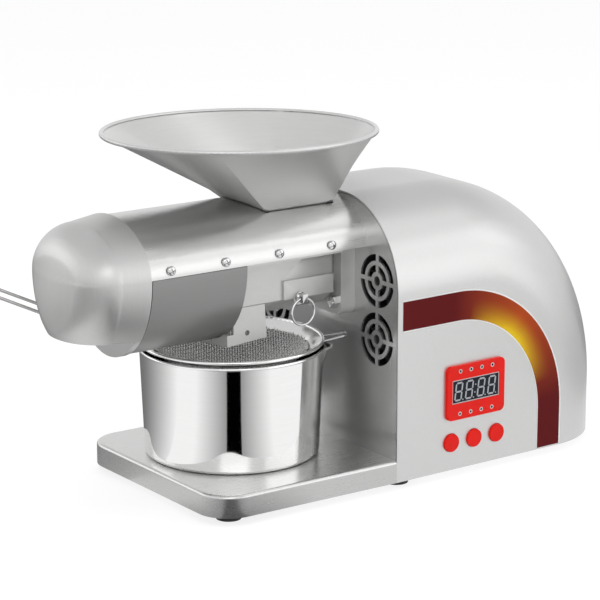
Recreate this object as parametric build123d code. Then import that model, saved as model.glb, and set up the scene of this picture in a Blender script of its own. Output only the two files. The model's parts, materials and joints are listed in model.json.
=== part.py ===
from build123d import *
import os
from math import acos, atan2, cos, degrees, pi, radians, sin, sqrt, tan

# Screw oil press. Sizes are in millimetres: X runs from the nose to the rear, Z is up from the floor.
# The housing's front plane is X = 0 and its control side faces -Y while the model is being built.

# Gaps shared by all pieces
fit = 0.3
run = 0.05
slip = 0.1

# Housing, front panel and base
body_width = 170.0
body_top = 198.0
body_rear = 207.0
body_taper = 1.6
crown_length = 66.0
rear_wall_height = 45.0
edge_round = 62.0
shell = 1.2
sheet = 1.5
ground_gap = 5.5
tray_length = 145.5
skirt = 15.5
tray_corner = 23.0
tray_edge_round = 2.5
pan_lift = 1.0

# Rubber feet
foot_top_r = 10.0
foot_bottom_r = 8.5
foot_screw_r = 2.0
foot_head_r = 4.0
foot_head_depth = 2.0
foot_counterbore_depth = 3.0
front_foot_inset = 20.5
front_foot_side_inset = 19.0
mid_foot_x = 12.0
mid_foot_side_inset = 17.0
rear_foot_inset = 58.0
rear_foot_side_inset = 43.0

# Vents and cooling fans
vent_r = 18.5
vent_slot = 4.6
vent_ring_gap = 3.0
vent_bar = 3.0
vent_side_inset = 24.1
vent_z = 142.5
vent_pitch = 40.8
fan_depth = 10.0
fan_wall = 1.6
fan_hub_r = 7.0
fan_tip_gap = 0.8
fan_blades = 5
fan_blade_thick = 1.2
fan_blade_pitch = 35.0
fan_blade_bury = 1.0
fan_axle_r = 1.5
fan_spokes = 3

# Arm covers: an egg-shaped section, wide above and narrow below
axis_z = 150.0
arm_half_width = 48.3
arm_mid_rise = 14.1
arm_rise = 34.0
arm_drop = 59.0
arm_length = 176.0
cover_sheet = 1.2
cover_tab = 9.0
lower_cover_length = 74.5
nose_plate_thick = 4.5
nose_plate_lip = 0.8
nose_cap_length = 37.5
nose_cap_inset = 1.3
nose_cap_round = 22.0
nose_cap_drop = 28.0
cover_screw_r = 1.5
cover_screw_head_r = 3.2
cover_screw_head = 2.0
cover_screw_rise = 4.8
cover_screw_first = 28.6
cover_screw_pitch = 42.6
cover_screw_length = 5.5

# Press chamber: block, barrel, flange and screw
block_start = 97.0
block_half_width = 32.0
block_rise = 28.0
block_edge_drop = 18.0
block_belly_drop = 32.0
block_pad = 2.0
block_pad_front = 58.0
block_pad_height = 13.0
block_neck = 5.4
block_neck_r = 27.5
rail_sheet = 2.0
flange_thick = 11.6
flange_half = 35.5
flange_corner = 6.0
flange_bolt_y = 29.5
flange_bolt_z = 26.6
bolt_r = 2.5
nut_flats = 8.0
nut_thick = 4.0
stud_tail = 1.0
barrel_r = 22.7
barrel_bore_r = 17.0
barrel_overhang = 14.0
barrel_cap_r = 27.0
barrel_cap_wall = 6.0
barrel_cap_grip = 8.0
barrel_cap_notches = 4
cake_hole_r = 14.0
drain_slit = 1.2
drain_pitch = 3.4
drain_count = 7
drain_half_width = 12.0
heater_thick = 4.0
heater_gap = 7.0
heater_end_gap = 4.0
screw_clear = 0.5
screw_root_r = 8.5
screw_tip_root_r = 12.5
screw_pitch = 24.0
screw_land = 4.0
screw_flight_bury = 1.0
screw_end_gap = 4.0
screw_nose = 16.0
screw_nose_r = 9.0
drive_flats = 13.6

# Lock pin and its pull ring
pin_x = 45.0
pin_drop = 17.5
pin_r = 3.0
pin_stand_off = 1.5
pin_bite = 2.6
pin_eye = 5.4
pin_eye_thick = 4.0
pin_collar_r = 3.8
pin_collar_thick = 1.2
pin_collar_gap = 0.3
pin_boss_r = 5.2
pin_boss_depth = 12.0
ring_wire_r = 0.9
ring_r = 9.3
ring_hole_slack = 0.7

# Drip bracket under the block
drip_length = 26.6
drip_half_width = 31.0
drip_sheet = 2.0
drip_drop = 44.7
drip_fall = 2.3
drip_lean = 2.4
drip_toe = 5.0
drip_toe_height = 7.8
drip_web_dip = 3.0
drip_cover_gap = 1.0
drip_hole_r = 1.9
drip_hole_inset = 16.0
drip_hole_drop = 37.0

# Feed throat and hopper
throat_length = 46.0
throat_width = 50.0
throat_height = 14.5
throat_wall = 2.7
feed_x = 40.0
feed_port_inset = 5.0
hopper_length = 198.8
hopper_width = 161.6
hopper_height = 53.1
hopper_shift = 29.7
hopper_lean = 1.5
hopper_base_length = 54.5
hopper_base_width = 53.0
hopper_wall = 1.0
hopper_bead_r = 1.6
hopper_neck_depth = 13.0
hopper_gap = 0.8
corner_angle = 52.0

# Pot and strainer
pot_x = 76.0
pot_y = 3.0
pot_bottom_r = 60.0
pot_top_r = 64.3
pot_height = 75.4
pot_wall = 1.0
pot_bottom_round = 5.0
pot_bead_r = 1.1
lip_angle = -38.0
lip_reach = 61.0
lip_top_r = 8.0
lip_low_r = 1.5
lip_height = 16.0
strainer_r = 63.1
strainer_band = 5.1
strainer_slope = 9.0
strainer_wire_drop = 1.7
strainer_wall = 1.0
strainer_bead_r = 1.2
strainer_depth = 23.0
mesh_overlap = 1.0
mesh_thick = 0.8
wire_r = 1.1
handle_angle = 147.0
handle_length = 130.0
handle_rise = 21.5
handle_spread = 20.0
handle_flat = 4.4
handle_bend = 8.0
ear_angle = -31.0
ear_reach = 15.4
ear_spread = 16.0
ear_tip = 7.0
ear_rise = 4.0
ear_bend = 3.0

# Control panel on the near side wall
bezel_x = 68.0
bezel_z = 60.9
bezel_length = 51.5
bezel_height = 38.6
bezel_corner = 4.0
bezel_thick = 2.2
bezel_collar_inset = 2.6
bezel_collar_wall = 1.5
bezel_depth = 9.0
window_length = 42.3
window_height = 16.9
window_drop = 0.65
window_thick = 1.6
module_inset = 1.5
board_thick = 1.6
lamp_r = 1.2
lamp_pitch = 9.6
lamp_rise = 15.2
button_r = 6.4
button_z = 25.4
button_pitch = 20.4
button_proud = 1.6
button_lip = 1.0
button_lip_thick = 1.0
button_travel = 1.0
button_edge_round = 0.4
button_board_length = 60.0
button_board_height = 28.0

# Power inlet and switch on the far side wall
inlet_x = 112.0
inlet_z = 36.0
inlet_length = 27.0
inlet_height = 19.5
inlet_lip = 2.5
inlet_lip_thick = 2.0
inlet_depth = 20.0
inlet_wall = 2.0
inlet_pin_length = 12.0
inlet_pin_pitch = 7.0
inlet_pin_shift = 2.0
inlet_pin_wide = 2.0
inlet_pin_high = 4.0
switch_x = 72.0
switch_length = 21.0
switch_height = 15.0
switch_wall = 1.5
switch_depth = 12.0
switch_throw = 14.0
switch_pivot_r = 1.2
rocker_shoulder = 0.33

# Gear train and motor
gear_module = 1.6
gear_teeth = 48
pinion_teeth = 12
gear_width = 11.0
gear_addendum = 0.8
gear_dedendum = 1.15
gear_backlash = 0.12
pressure_angle = 20.0
gear_gap = 5.0
idler_offset = 24.0
plate_thick = 6.0
plate_half_width = 38.0
plate_headroom = 3.5
spacer_r = 4.0
spacer_inset = 6.0
output_r = 12.0
journal_r = 6.0
bearing_wall = 6.0
motor_r = 42.0
motor_length = 98.0
motor_shaft_r = 5.0
motor_bell = 14.0
motor_bell_step = 2.0
motor_rib_count = 12
motor_rib_depth = 2.0
motor_rib_width = 8.0
cradle_length = 40.0
cradle_half_width = 30.0
cradle_drop = 21.0

# Places worked out from the sizes above
half_width = body_width / 2
taper_slope = tan(radians(body_taper))
vent_y = half_width - vent_side_inset
tray_top = ground_gap + skirt
pan_low = ground_gap + pan_lift
pan_top = pan_low + sheet
arm_mid = axis_z + arm_mid_rise
nose_x = -arm_length
covers_front = nose_x + nose_plate_thick
block_front = -block_start
block_back = -flange_thick - block_neck
block_top = axis_z + block_rise
block_edge = axis_z - block_edge_drop
block_side = block_half_width + block_pad
barrel_front = nose_x - barrel_overhang
screw_r = barrel_bore_r - screw_clear
pin_z = axis_z - pin_drop
pin_eye_y = -block_side - pin_stand_off - pin_eye / 2
drip_front = block_front + slip
drip_back = drip_front + drip_length
throat_top = block_top + throat_height
neck_length = throat_length - 2 * throat_wall - 2 * fit
neck_width = throat_width - 2 * throat_wall - 2 * fit
rim_z = throat_top + hopper_height
rim_x = -feed_x - hopper_shift
pot_top = tray_top + pot_height
wire_z = pot_top + fit + wire_r
strainer_z = wire_z + strainer_wire_drop
gear_reach = gear_module * (gear_teeth + pinion_teeth) / 2
idler_z = axis_z - sqrt(gear_reach ** 2 - idler_offset ** 2)
motor_z = 2 * idler_z - axis_z
plate_front = sheet
train_front = plate_front + plate_thick + gear_gap
train_back = train_front + gear_width + gear_gap
plate_back = train_back + gear_width + gear_gap
motor_front = plate_back + plate_thick
plate_top = axis_z + gear_module * (gear_teeth / 2 + gear_addendum) + plate_headroom
rail_rise = arm_mid + cover_tab


# Frames and outlines used by several pieces

def wall_plane(side, along, height):
    """Frame on a side wall's outer face: local Y is up and local Z points out of the wall."""
    lean = radians(body_taper)
    origin = (along, side * (half_width - along * taper_slope), height)
    out = (sin(lean), side * cos(lean), 0)
    x_dir = (-side * cos(lean), sin(lean), 0)
    return Plane(origin=origin, x_dir=x_dir, z_dir=out)


def across(x):
    """Plane square to the screw axis, with local X along Y and local Y up."""
    return Plane.YZ.offset(x)


def slab(low, high):
    """Box between two opposite corners."""
    size = [b - a for a, b in zip(low, high)]
    middle = [(a + b) / 2 for a, b in zip(low, high)]
    return Pos(*middle) * Box(*size)


def rod(start, length, radius, axis):
    """Cylinder from a point along X, Y or Z."""
    return extrude(Plane(origin=start, z_dir=axis) * Circle(radius), amount=length)


def tube(start, length, outer, inner, axis=(1, 0, 0)):
    """Plain ring along X unless another axis is given."""
    return rod(start, length, outer, axis) - rod(start, length, inner, axis)


def housing_form(inset, front=0.0, low=ground_gap):
    """The housing's rounded solid, drawn in by inset on the crown, the rear and both flanks."""
    top = body_top - inset
    rear = body_rear - inset
    crown_end = crown_length
    outline = [
        Line((front, low), (front, top)),
        Line((front, top), (crown_end, top)),
        EllipticalCenterArc((crown_end, rear_wall_height), rear - crown_end, top - rear_wall_height, 0,
                            arc_size=90),
        Line((rear, rear_wall_height), (rear, low)),
        Line((rear, low), (front, low)),
    ]
    side = extrude(Plane.XZ * make_face(outline), amount=body_width, both=True)
    wide = half_width - inset - front * taper_slope
    narrow = half_width - inset - (rear + 1) * taper_slope
    plan = Polyline((front, -wide), (rear + 1, -narrow), (rear + 1, narrow), (front, wide), close=True)
    form = side & extrude(Plane.XY.offset(low) * make_face(plan), amount=top - low)
    flanks = form.faces().filter_by(lambda face: abs(face.normal_at().Y) > 0.9)
    rims = [e for e in flanks.edges() if e.center().X > front + 0.5 and e.center().Z > low + 0.5]
    return fillet(rims, edge_round - inset)


def tray_form(inset, low, high):
    """Plan of the base tray, drawn in by inset, between two heights."""
    plan = Pos(-tray_length / 2, 0) * Rectangle(tray_length - 2 * inset, body_width - 2 * inset)
    plan = fillet(plan.vertices().group_by(Axis.X)[0], tray_corner - inset)
    return extrude(Plane.XY.offset(low) * plan, amount=high - low)


def egg_form(inset, start, end):
    """The arm's egg-shaped section, drawn in by inset, between two places along the screw axis."""
    width = arm_half_width - inset
    outline = [
        EllipticalCenterArc((0, arm_mid), width, arm_rise - inset, 0, arc_size=180),
        EllipticalCenterArc((0, arm_mid), width, arm_drop - inset, 180, arc_size=180),
    ]
    return extrude(across(start) * make_face(outline), amount=end - start)


def arm_width_at(height, inset):
    """Half width of the arm's upper shell at a height."""
    share = (height - arm_mid) / (arm_rise - inset)
    return (arm_half_width - inset) * sqrt(1 - share ** 2)


def block_form(gap, start, end):
    """The press block's section with its flat flanks and rounded belly, grown by gap."""
    wide = block_half_width + gap
    edge = block_edge - gap
    belly = axis_z - block_belly_drop - gap
    outline = [
        Line((wide, edge), (wide, block_top)),
        Line((wide, block_top), (-wide, block_top)),
        Line((-wide, block_top), (-wide, edge)),
        ThreePointArc((-wide, edge), (0, belly), (wide, edge)),
    ]
    return extrude(across(start) * make_face(outline), amount=end - start)


def gear(teeth, centre, start, bore_r, phase):
    """Straight-flanked spur gear; one tooth points along phase, in degrees."""
    pitch_r = gear_module * teeth / 2
    tip = gear_module * gear_addendum
    root = gear_module * gear_dedendum
    half = gear_module * (pi / 4 - gear_backlash)
    lean = tan(radians(pressure_angle))
    flank = [(pitch_r - root, half + root * lean), (pitch_r + tip, half - tip * lean)]
    points = []
    for tooth in range(teeth):
        middle = radians(phase) + 2 * pi * tooth / teeth
        for radius, wide, side in ((*flank[0], -1), (*flank[1], -1), (*flank[1], 1), (*flank[0], 1)):
            angle = middle + side * wide / radius
            points.append((centre[0] + radius * cos(angle), centre[1] + radius * sin(angle)))
    blank = make_face(Polyline(*points, close=True)) - Pos(*centre) * Circle(bore_r)
    return extrude(across(start) * blank, amount=gear_width)


# Housing and base

def base_plate():
    tray = tray_form(0, ground_gap, tray_top)
    rims = [e for e in tray.faces().sort_by(Axis.Z)[-1].edges() if e.center().X < -1]
    tray = fillet(rims, tray_edge_round)
    return tray - tray_form(sheet, ground_gap - 1, tray_top - sheet)


def floor_pan():
    room = housing_form(shell + fit)
    return room & slab((0, -body_width, pan_low), (body_rear, body_width, pan_top))


foot_places = [
    (-tray_length + front_foot_inset, half_width - front_foot_side_inset, tray_top - sheet),
    (mid_foot_x, half_width - mid_foot_side_inset, pan_low),
    (body_rear - rear_foot_inset, half_width - rear_foot_side_inset, pan_low),
]


def rubber_feet():
    feet = []
    for x, y, height in foot_places:
        foot = Pos(0, 0, height / 2) * Cone(foot_bottom_r, foot_top_r, height)
        foot -= rod((0, 0, 0), height, foot_screw_r + slip, (0, 0, 1))
        foot -= rod((0, 0, 0), foot_counterbore_depth, foot_head_r + slip, (0, 0, 1))
        feet += [Pos(x, side * y, 0) * foot for side in (-1, 1)]
    return feet


def foot_screws():
    screws = []
    head_low = foot_counterbore_depth - foot_head_depth
    for x, y, height in foot_places:
        screw = rod((0, 0, head_low), foot_head_depth, foot_head_r, (0, 0, 1))
        screw += rod((0, 0, head_low), height - head_low, foot_screw_r, (0, 0, 1))
        screws += [Pos(x, side * y, 0) * screw for side in (-1, 1)]
    return screws


def motor_housing():
    case = housing_form(0) - housing_form(shell, front=-1.0, low=ground_gap - 1)
    deep = 4 * shell
    near = wall_plane(-1, bezel_x, bezel_z)
    length = bezel_length - 2 * bezel_collar_inset + 2 * slip
    height = bezel_height - 2 * bezel_collar_inset + 2 * slip
    case -= extrude(near * Rectangle(length, height), amount=deep, both=True)
    for place in button_places():
        case -= extrude(place * Circle(button_r + fit), amount=deep, both=True)
    far = wall_plane(1, inlet_x, inlet_z)
    mouth = Rectangle(inlet_length + 2 * slip, inlet_height + 2 * slip)
    case -= extrude(far * mouth, amount=deep, both=True)
    far = wall_plane(1, switch_x, inlet_z)
    mouth = Rectangle(switch_length + 2 * slip, switch_height + 2 * slip)
    return case - extrude(far * mouth, amount=deep, both=True)


def vent_slots():
    """Round target-shaped vent: two rings of four slots about a centre hole."""
    outer_in = vent_r - vent_slot
    inner_out = outer_in - vent_ring_gap
    inner_in = inner_out - vent_slot
    rings = Circle(vent_r) - Circle(outer_in) + (Circle(inner_out) - Circle(inner_in))
    bars = Rectangle(vent_bar, 3 * vent_r) + Rectangle(3 * vent_r, vent_bar)
    return rings - bars + Circle(inner_in - vent_ring_gap)


def vent_centres(side):
    return [(side * vent_y, vent_z - row * vent_pitch) for row in range(2)]


def front_panel():
    panel = housing_form(shell + fit) & slab((0, -body_width, pan_top), (sheet, body_width, body_top))
    for side in (-1, 1):
        for centre in vent_centres(side):
            panel -= extrude(across(0) * Pos(*centre) * vent_slots(), amount=sheet)
    panel -= rod((0, 0, axis_z), sheet, output_r + bearing_wall, (1, 0, 0))
    for y, z in flange_bolt_places():
        panel -= rod((0, y, z), sheet, bolt_r + slip, (1, 0, 0))
    return panel


# Cooling fans behind the near side's vents

def fan_frames():
    frames = []
    outer = vent_pitch / 2 - fit
    for y, z in vent_centres(-1):
        frame = tube((sheet, y, z), fan_depth, outer, outer - fan_wall)
        back = sheet + fan_depth - fan_wall
        spider = rod((back, y, z), fan_wall, fan_hub_r, (1, 0, 0))
        for turn in range(fan_spokes):
            limb = Pos(back + fan_wall / 2, 0, outer / 2) * Box(fan_wall, vent_bar, outer - fan_wall / 2)
            spider += Pos(0, y, z) * Rot(turn * 360 / fan_spokes, 0, 0) * limb
        frame += spider & rod((back, y, z), fan_wall, outer, (1, 0, 0))
        frames.append(frame - rod((back, y, z), fan_wall, fan_axle_r + run, (1, 0, 0)))
    return frames


def fan_rotor(centre):
    y, z = centre
    back = sheet + fan_depth - fan_wall
    depth = back - fit - sheet - fit
    tip = vent_pitch / 2 - fit - fan_wall - fan_tip_gap
    front = sheet + fit
    rotor = rod((front, 0, 0), depth, fan_hub_r, (1, 0, 0))
    blade_root = fan_hub_r - fan_blade_bury
    blade = Pos(front + depth / 2, 0, (tip + blade_root) / 2) * Rot(0, 0, fan_blade_pitch)
    blade = blade * Box(depth * cos(radians(fan_blade_pitch)), fan_blade_thick, tip - blade_root)
    for turn in range(fan_blades):
        rotor += Rot(turn * 360 / fan_blades, 0, 0) * blade
    rotor += rod((front, 0, 0), depth + fit + fan_wall, fan_axle_r, (1, 0, 0))
    keep = rod((front, 0, 0), sheet + fan_depth - front, tip, (1, 0, 0))
    return Pos(0, y, z) * (rotor & keep)


# Control panel

def button_places():
    return [wall_plane(-1, bezel_x + step * button_pitch, button_z) for step in (-1, 0, 1)]


def near_frame():
    return wall_plane(-1, bezel_x, bezel_z)


def display_bezel():
    outline = RectangleRounded(bezel_length, bezel_height, bezel_corner)
    plate = extrude(near_frame() * outline, amount=bezel_thick)
    length = bezel_length - 2 * bezel_collar_inset
    height = bezel_height - 2 * bezel_collar_inset
    wall = 2 * bezel_collar_wall
    collar = Rectangle(length, height) - Rectangle(length - wall, height - wall)
    plate += extrude(near_frame() * collar, amount=-bezel_depth)
    hole = Pos(0, window_drop) * Rectangle(window_length + 2 * slip, window_height + 2 * slip)
    plate -= extrude(near_frame() * hole, amount=bezel_thick)
    for place in lamp_places():
        plate -= extrude(near_frame() * Pos(*place) * Circle(lamp_r + slip), amount=bezel_thick)
    return plate


def lamp_places():
    steps = [lamp_pitch * (i - 1.5) for i in range(4)]
    return [(x, side * lamp_rise) for side in (-1, 1) for x in steps]


def indicator_lamps():
    lamps = [Pos(*place) * Circle(lamp_r) for place in lamp_places()]
    return [extrude(near_frame() * lamp, amount=bezel_thick) for lamp in lamps]


def display_window():
    pane = Pos(0, window_drop) * Rectangle(window_length, window_height)
    return extrude(near_frame() * pane, amount=window_thick)


def display_module():
    outline = Rectangle(window_length - 2 * module_inset, window_height - 2 * module_inset)
    block = Pos(0, window_drop) * outline
    return extrude(near_frame().offset(-bezel_depth) * block, amount=bezel_depth)


def circuit_board():
    board = Rectangle(bezel_length, bezel_height)
    return extrude(near_frame().offset(-bezel_depth) * board, amount=-board_thick)


def button(place):
    back = shell + fit + button_lip_thick
    cap = extrude(place * Circle(button_r), amount=button_proud)
    cap = fillet(cap.faces().sort_by(Axis.Y)[0].edges(), button_edge_round)
    cap += extrude(place * Circle(button_r), amount=-back)
    return cap + extrude(place.offset(-back) * Circle(button_r + button_lip), amount=button_lip_thick)


def button_board():
    back = shell + fit + button_lip_thick + button_travel + fit
    place = wall_plane(-1, bezel_x, pan_top).offset(-back)
    board = Pos(0, button_board_height / 2) * Rectangle(button_board_length, button_board_height)
    return extrude(place * board, amount=-board_thick)


# Power inlet and switch

def power_inlet():
    far = wall_plane(1, inlet_x, inlet_z)
    lip = RectangleRounded(inlet_length + 2 * inlet_lip, inlet_height + 2 * inlet_lip, inlet_lip)
    body = extrude(far * lip, amount=inlet_lip_thick)
    body += extrude(far * Rectangle(inlet_length, inlet_height), amount=-inlet_depth)
    mouth = Rectangle(inlet_length - 2 * inlet_wall, inlet_height - 2 * inlet_wall)
    deep = inlet_depth - inlet_wall
    body -= extrude(far.offset(-deep) * mouth, amount=deep + inlet_lip_thick)
    return body


def inlet_pins():
    far = wall_plane(1, inlet_x, inlet_z).offset(inlet_wall - inlet_depth)
    pins = []
    for step, shift in ((-1, -inlet_pin_shift), (0, inlet_pin_shift), (1, -inlet_pin_shift)):
        blade = Pos(step * inlet_pin_pitch, shift) * Rectangle(inlet_pin_wide, inlet_pin_high)
        pins.append(extrude(far * blade, amount=inlet_pin_length))
    return pins


def switch_frame():
    far = wall_plane(1, switch_x, inlet_z)
    lip = RectangleRounded(switch_length + 2 * inlet_lip, switch_height + 2 * inlet_lip, inlet_lip)
    frame = extrude(far * lip, amount=inlet_lip_thick)
    frame += extrude(far * Rectangle(switch_length, switch_height), amount=-switch_depth)
    mouth = Rectangle(switch_length - 2 * switch_wall, switch_height - 2 * switch_wall)
    frame -= extrude(far.offset(-switch_depth) * mouth, amount=switch_depth + inlet_lip_thick)
    pivot = switch_pivot()
    return frame - extrude(pivot * Circle(switch_pivot_r + run), amount=switch_height, both=True)


def switch_pivot():
    """Frame on the rocker's pivot, with local Z along the pivot."""
    far = wall_plane(1, switch_x, inlet_z)
    return Plane(origin=far.origin - far.z_dir * switch_pivot_r, x_dir=far.x_dir, z_dir=far.y_dir)


def switch_rocker():
    pivot = switch_pivot()
    half = switch_length / 2 - switch_wall - 2 * fit
    depth = half * sin(radians(switch_throw / 2)) + switch_pivot_r + inlet_lip_thick
    edge = -rocker_shoulder * depth
    outline = Polyline((-half, -depth), (-half, edge), (0, switch_pivot_r), (half, edge), (half, -depth),
                       close=True)
    flip = Rot(180, 0, 0) if pivot.y_dir.Y < 0 else Rot(0, 0, 0)
    wide = switch_height / 2 - switch_wall - fit
    body = extrude(pivot * flip * make_face(outline), amount=wide, both=True)
    body += extrude(pivot * Circle(switch_pivot_r), amount=switch_height / 2 - fit, both=True)
    return body.rotate(Axis(pivot.origin, pivot.z_dir), -switch_throw / 2)


# Arm covers and nose

def cover_screw_places():
    return [-cover_screw_first - i * cover_screw_pitch for i in range(4)]


def screw_holes(solid, radius):
    """Holes for the cover screws through both flanks of a solid."""
    for x in cover_screw_places():
        start = (x, -arm_half_width - 1, arm_mid + cover_screw_rise)
        solid = solid - rod(start, body_width, radius, (0, 1, 0))
    return solid


def top_cover():
    cover = egg_form(0, covers_front, 0) - egg_form(cover_sheet, covers_front - 1, 1)
    cover &= slab((covers_front, -body_width, arm_mid), (0, body_width, body_top + arm_rise))
    length = hopper_base_length / 2 + hopper_gap
    width = hopper_base_width / 2 + hopper_gap
    cover -= slab((-feed_x - length, -width, axis_z), (-feed_x + length, width, throat_top))
    cover -= funnel(-hopper_gap, throat_top)
    return screw_holes(cover, cover_screw_r + slip)


def tab_face():
    """Outer face of the tabs that the cover screws bite into."""
    return arm_width_at(rail_rise, cover_sheet) - fit


def lower_cover():
    back = covers_front + lower_cover_length
    low = arm_mid - arm_drop - 1
    edge = arm_mid - fit
    cover = egg_form(0, covers_front, back) - egg_form(cover_sheet, covers_front - 1, back + 1)
    cover &= slab((covers_front, -body_width, low), (back, body_width, edge))
    inner = tab_face() - cover_sheet
    fold = slab((covers_front, inner, edge - cover_sheet), (back, arm_half_width, edge))
    tab = slab((covers_front, inner, edge - cover_sheet), (back, tab_face(), rail_rise))
    for side in (fold & egg_form(0, covers_front, back), tab):
        cover += side
        cover += mirror(side, about=Plane.XZ)
    return screw_holes(cover, cover_screw_r + slip)


def cover_rails():
    """Angle rails on the block that carry the top cover's rear screws."""
    low = arm_mid - fit - rail_sheet
    face = tab_face()
    web = slab((block_front, block_half_width, low), (block_back, face, low + rail_sheet))
    leg = slab((block_front, face - cover_sheet, low), (block_back, face, rail_rise))
    rail = web + leg
    return [screw_holes(side, cover_screw_r + slip) for side in (rail, mirror(rail, about=Plane.XZ))]


def cover_screws():
    screws = []
    height = arm_mid + cover_screw_rise
    seat = arm_width_at(height - cover_screw_head_r, 0)
    for x in cover_screw_places():
        for side in (-1, 1):
            start = (x, side * (seat + cover_screw_head), height)
            head = rod(start, cover_screw_head, cover_screw_head_r, (0, -side, 0))
            shank = rod(start, cover_screw_head + cover_screw_length, cover_screw_r, (0, -side, 0))
            screws.append(head + shank)
    return screws


def nose_plate():
    plate = egg_form(-nose_plate_lip, nose_x, covers_front)
    return plate - rod((nose_x, 0, axis_z), nose_plate_thick, barrel_r + fit, (1, 0, 0))


def nose_cap():
    def form(extra):
        front = nose_x - nose_cap_length + extra
        solid = egg_form(nose_cap_inset + extra, front, nose_x)
        return fillet(solid.faces().sort_by(Axis.X)[0].edges(), nose_cap_round - extra)
    cap = form(0) - form(cover_sheet)
    floor = axis_z - nose_cap_drop
    return cap - slab((nose_x - 2 * nose_cap_length, -body_width, 0), (nose_x, body_width, floor))


# Press chamber

def flange_bolt_places():
    return [(y, axis_z + z) for y in (-flange_bolt_y, flange_bolt_y) for z in (-flange_bolt_z, flange_bolt_z)]


def flange_plate():
    plan = Pos(0, axis_z) * RectangleRounded(2 * flange_half, 2 * flange_half, flange_corner)
    plan -= Pos(0, axis_z) * Circle(output_r + bearing_wall)
    for place in flange_bolt_places():
        plan -= Pos(*place) * Circle(bolt_r + slip)
    return extrude(across(-flange_thick) * plan, amount=flange_thick)


def flange_bush():
    return tube((-flange_thick, 0, axis_z), flange_thick, output_r + bearing_wall - slip, output_r + run)


def flange_bolts():
    bolts = []
    for y, z in flange_bolt_places():
        start = -flange_thick - nut_thick - stud_tail
        bolt = rod((start, y, z), sheet + plate_thick - start, bolt_r, (1, 0, 0))
        nut = Pos(y, z) * RegularPolygon(nut_flats / 2, 6, major_radius=False)
        bolts.append(bolt + extrude(across(-flange_thick - nut_thick) * nut, amount=nut_thick))
    return bolts


def barrel_block():
    block = block_form(0, block_front, block_back)
    pad = slab((-block_pad_front, block_half_width, block_edge),
               (block_back, block_side, block_edge + block_pad_height))
    block += pad + mirror(pad, about=Plane.XZ)
    block += rod((block_back, 0, axis_z), block_neck, block_neck_r, (1, 0, 0))
    block += rod((-pin_x, -block_side, pin_z), pin_boss_depth, pin_boss_r, (0, 1, 0))
    block -= rod((block_front, 0, axis_z), -flange_thick - block_front, barrel_r + fit, (1, 0, 0))
    length = neck_length / 2 - feed_port_inset
    width = barrel_bore_r
    block -= slab((-feed_x - length, -width, axis_z), (-feed_x + length, width, block_top + 1))
    middle = drip_front + drip_length / 2
    reach = drain_pitch * drain_count / 2
    block -= slab((middle - reach, -drain_half_width, 0), (middle + reach, drain_half_width, axis_z))
    return block - rod((-pin_x, -block_side - 1, pin_z), block_side, pin_r + slip, (0, 1, 0))


def press_barrel():
    length = -flange_thick - barrel_front
    barrel = tube((barrel_front, 0, axis_z), length, barrel_r, barrel_bore_r)
    half = neck_length / 2 - feed_port_inset
    barrel -= slab((-feed_x - half, -barrel_bore_r, axis_z), (-feed_x + half, barrel_bore_r, block_top))
    middle = drip_front + drip_length / 2
    for i in range(drain_count):
        x = middle + drain_pitch * (i - (drain_count - 1) / 2)
        slit = slab((x - drain_slit / 2, -drain_half_width, axis_z - barrel_r),
                    (x + drain_slit / 2, drain_half_width, axis_z))
        barrel -= slit
    bite_end = -pin_seat() + pin_bite + fit
    return barrel - rod((-pin_x, -barrel_r, pin_z), barrel_r + bite_end, pin_r + slip, (0, 1, 0))


def pin_seat():
    """Distance from the middle to the barrel's skin at the pin's height."""
    return sqrt(barrel_r ** 2 - pin_drop ** 2)


def barrel_cap():
    """Slotted ring on the barrel's end, with the hole that the pressed cake leaves by."""
    front = barrel_front - barrel_cap_wall
    length = barrel_cap_wall + barrel_cap_grip
    cap = rod((front, 0, axis_z), length, barrel_cap_r, (1, 0, 0))
    cap -= rod((barrel_front, 0, axis_z), barrel_cap_grip, barrel_r + slip, (1, 0, 0))
    cap -= rod((front, 0, axis_z), length, cake_hole_r, (1, 0, 0))
    notch = Pos(front + length / 2, 0, barrel_cap_r) * Box(length, barrel_cap_wall, barrel_cap_wall / 2)
    for turn in range(barrel_cap_notches):
        cap -= Pos(0, 0, axis_z) * Rot(turn * 360 / barrel_cap_notches, 0, 0) * notch
    return cap


def heater_band():
    front = covers_front + heater_end_gap
    length = block_front - heater_end_gap - front
    band = tube((front, 0, axis_z), length, barrel_r + heater_thick, barrel_r + slip)
    band -= slab((front, -heater_gap / 2, axis_z), (front + length, heater_gap / 2, rim_z))
    ear = slab((front, heater_gap / 2, axis_z + barrel_r + fit),
               (front + length, heater_gap / 2 + heater_thick / 2, axis_z + barrel_r + 2 * heater_thick))
    return band + ear + mirror(ear, about=Plane.XZ)


def press_screw():
    """Tapered core with one helical flight, and a hexagonal tail that the drive turns."""
    back = -flange_thick - screw_end_gap
    length = back - barrel_front
    core = Pos(0, 0, length / 2) * Cone(screw_root_r, screw_tip_root_r, length)
    nose = Pos(0, 0, length + screw_nose / 2) * Cone(screw_tip_root_r, screw_nose_r, screw_nose)
    turns = (length - screw_land) / screw_pitch
    path = Helix(screw_pitch, turns * screw_pitch, screw_r)
    inner = screw_root_r - screw_flight_bury
    tooth = Plane.XZ * Polyline((inner, -screw_land), (screw_r, -screw_land / 2), (screw_r, screw_land / 2),
                                (inner, screw_land), close=True)
    flight = sweep(make_face(tooth), path=path, is_frenet=True)
    flight &= Pos(0, 0, length / 2) * Cylinder(2 * screw_r, length)
    screw = core + nose + flight
    screw = Pos(back, 0, axis_z) * Rot(0, -90, 0) * screw
    tail = RegularPolygon(drive_flats / 2, 6, major_radius=False)
    return screw + extrude(across(back) * Pos(0, axis_z) * tail, amount=plate_front + plate_thick - back)


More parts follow.
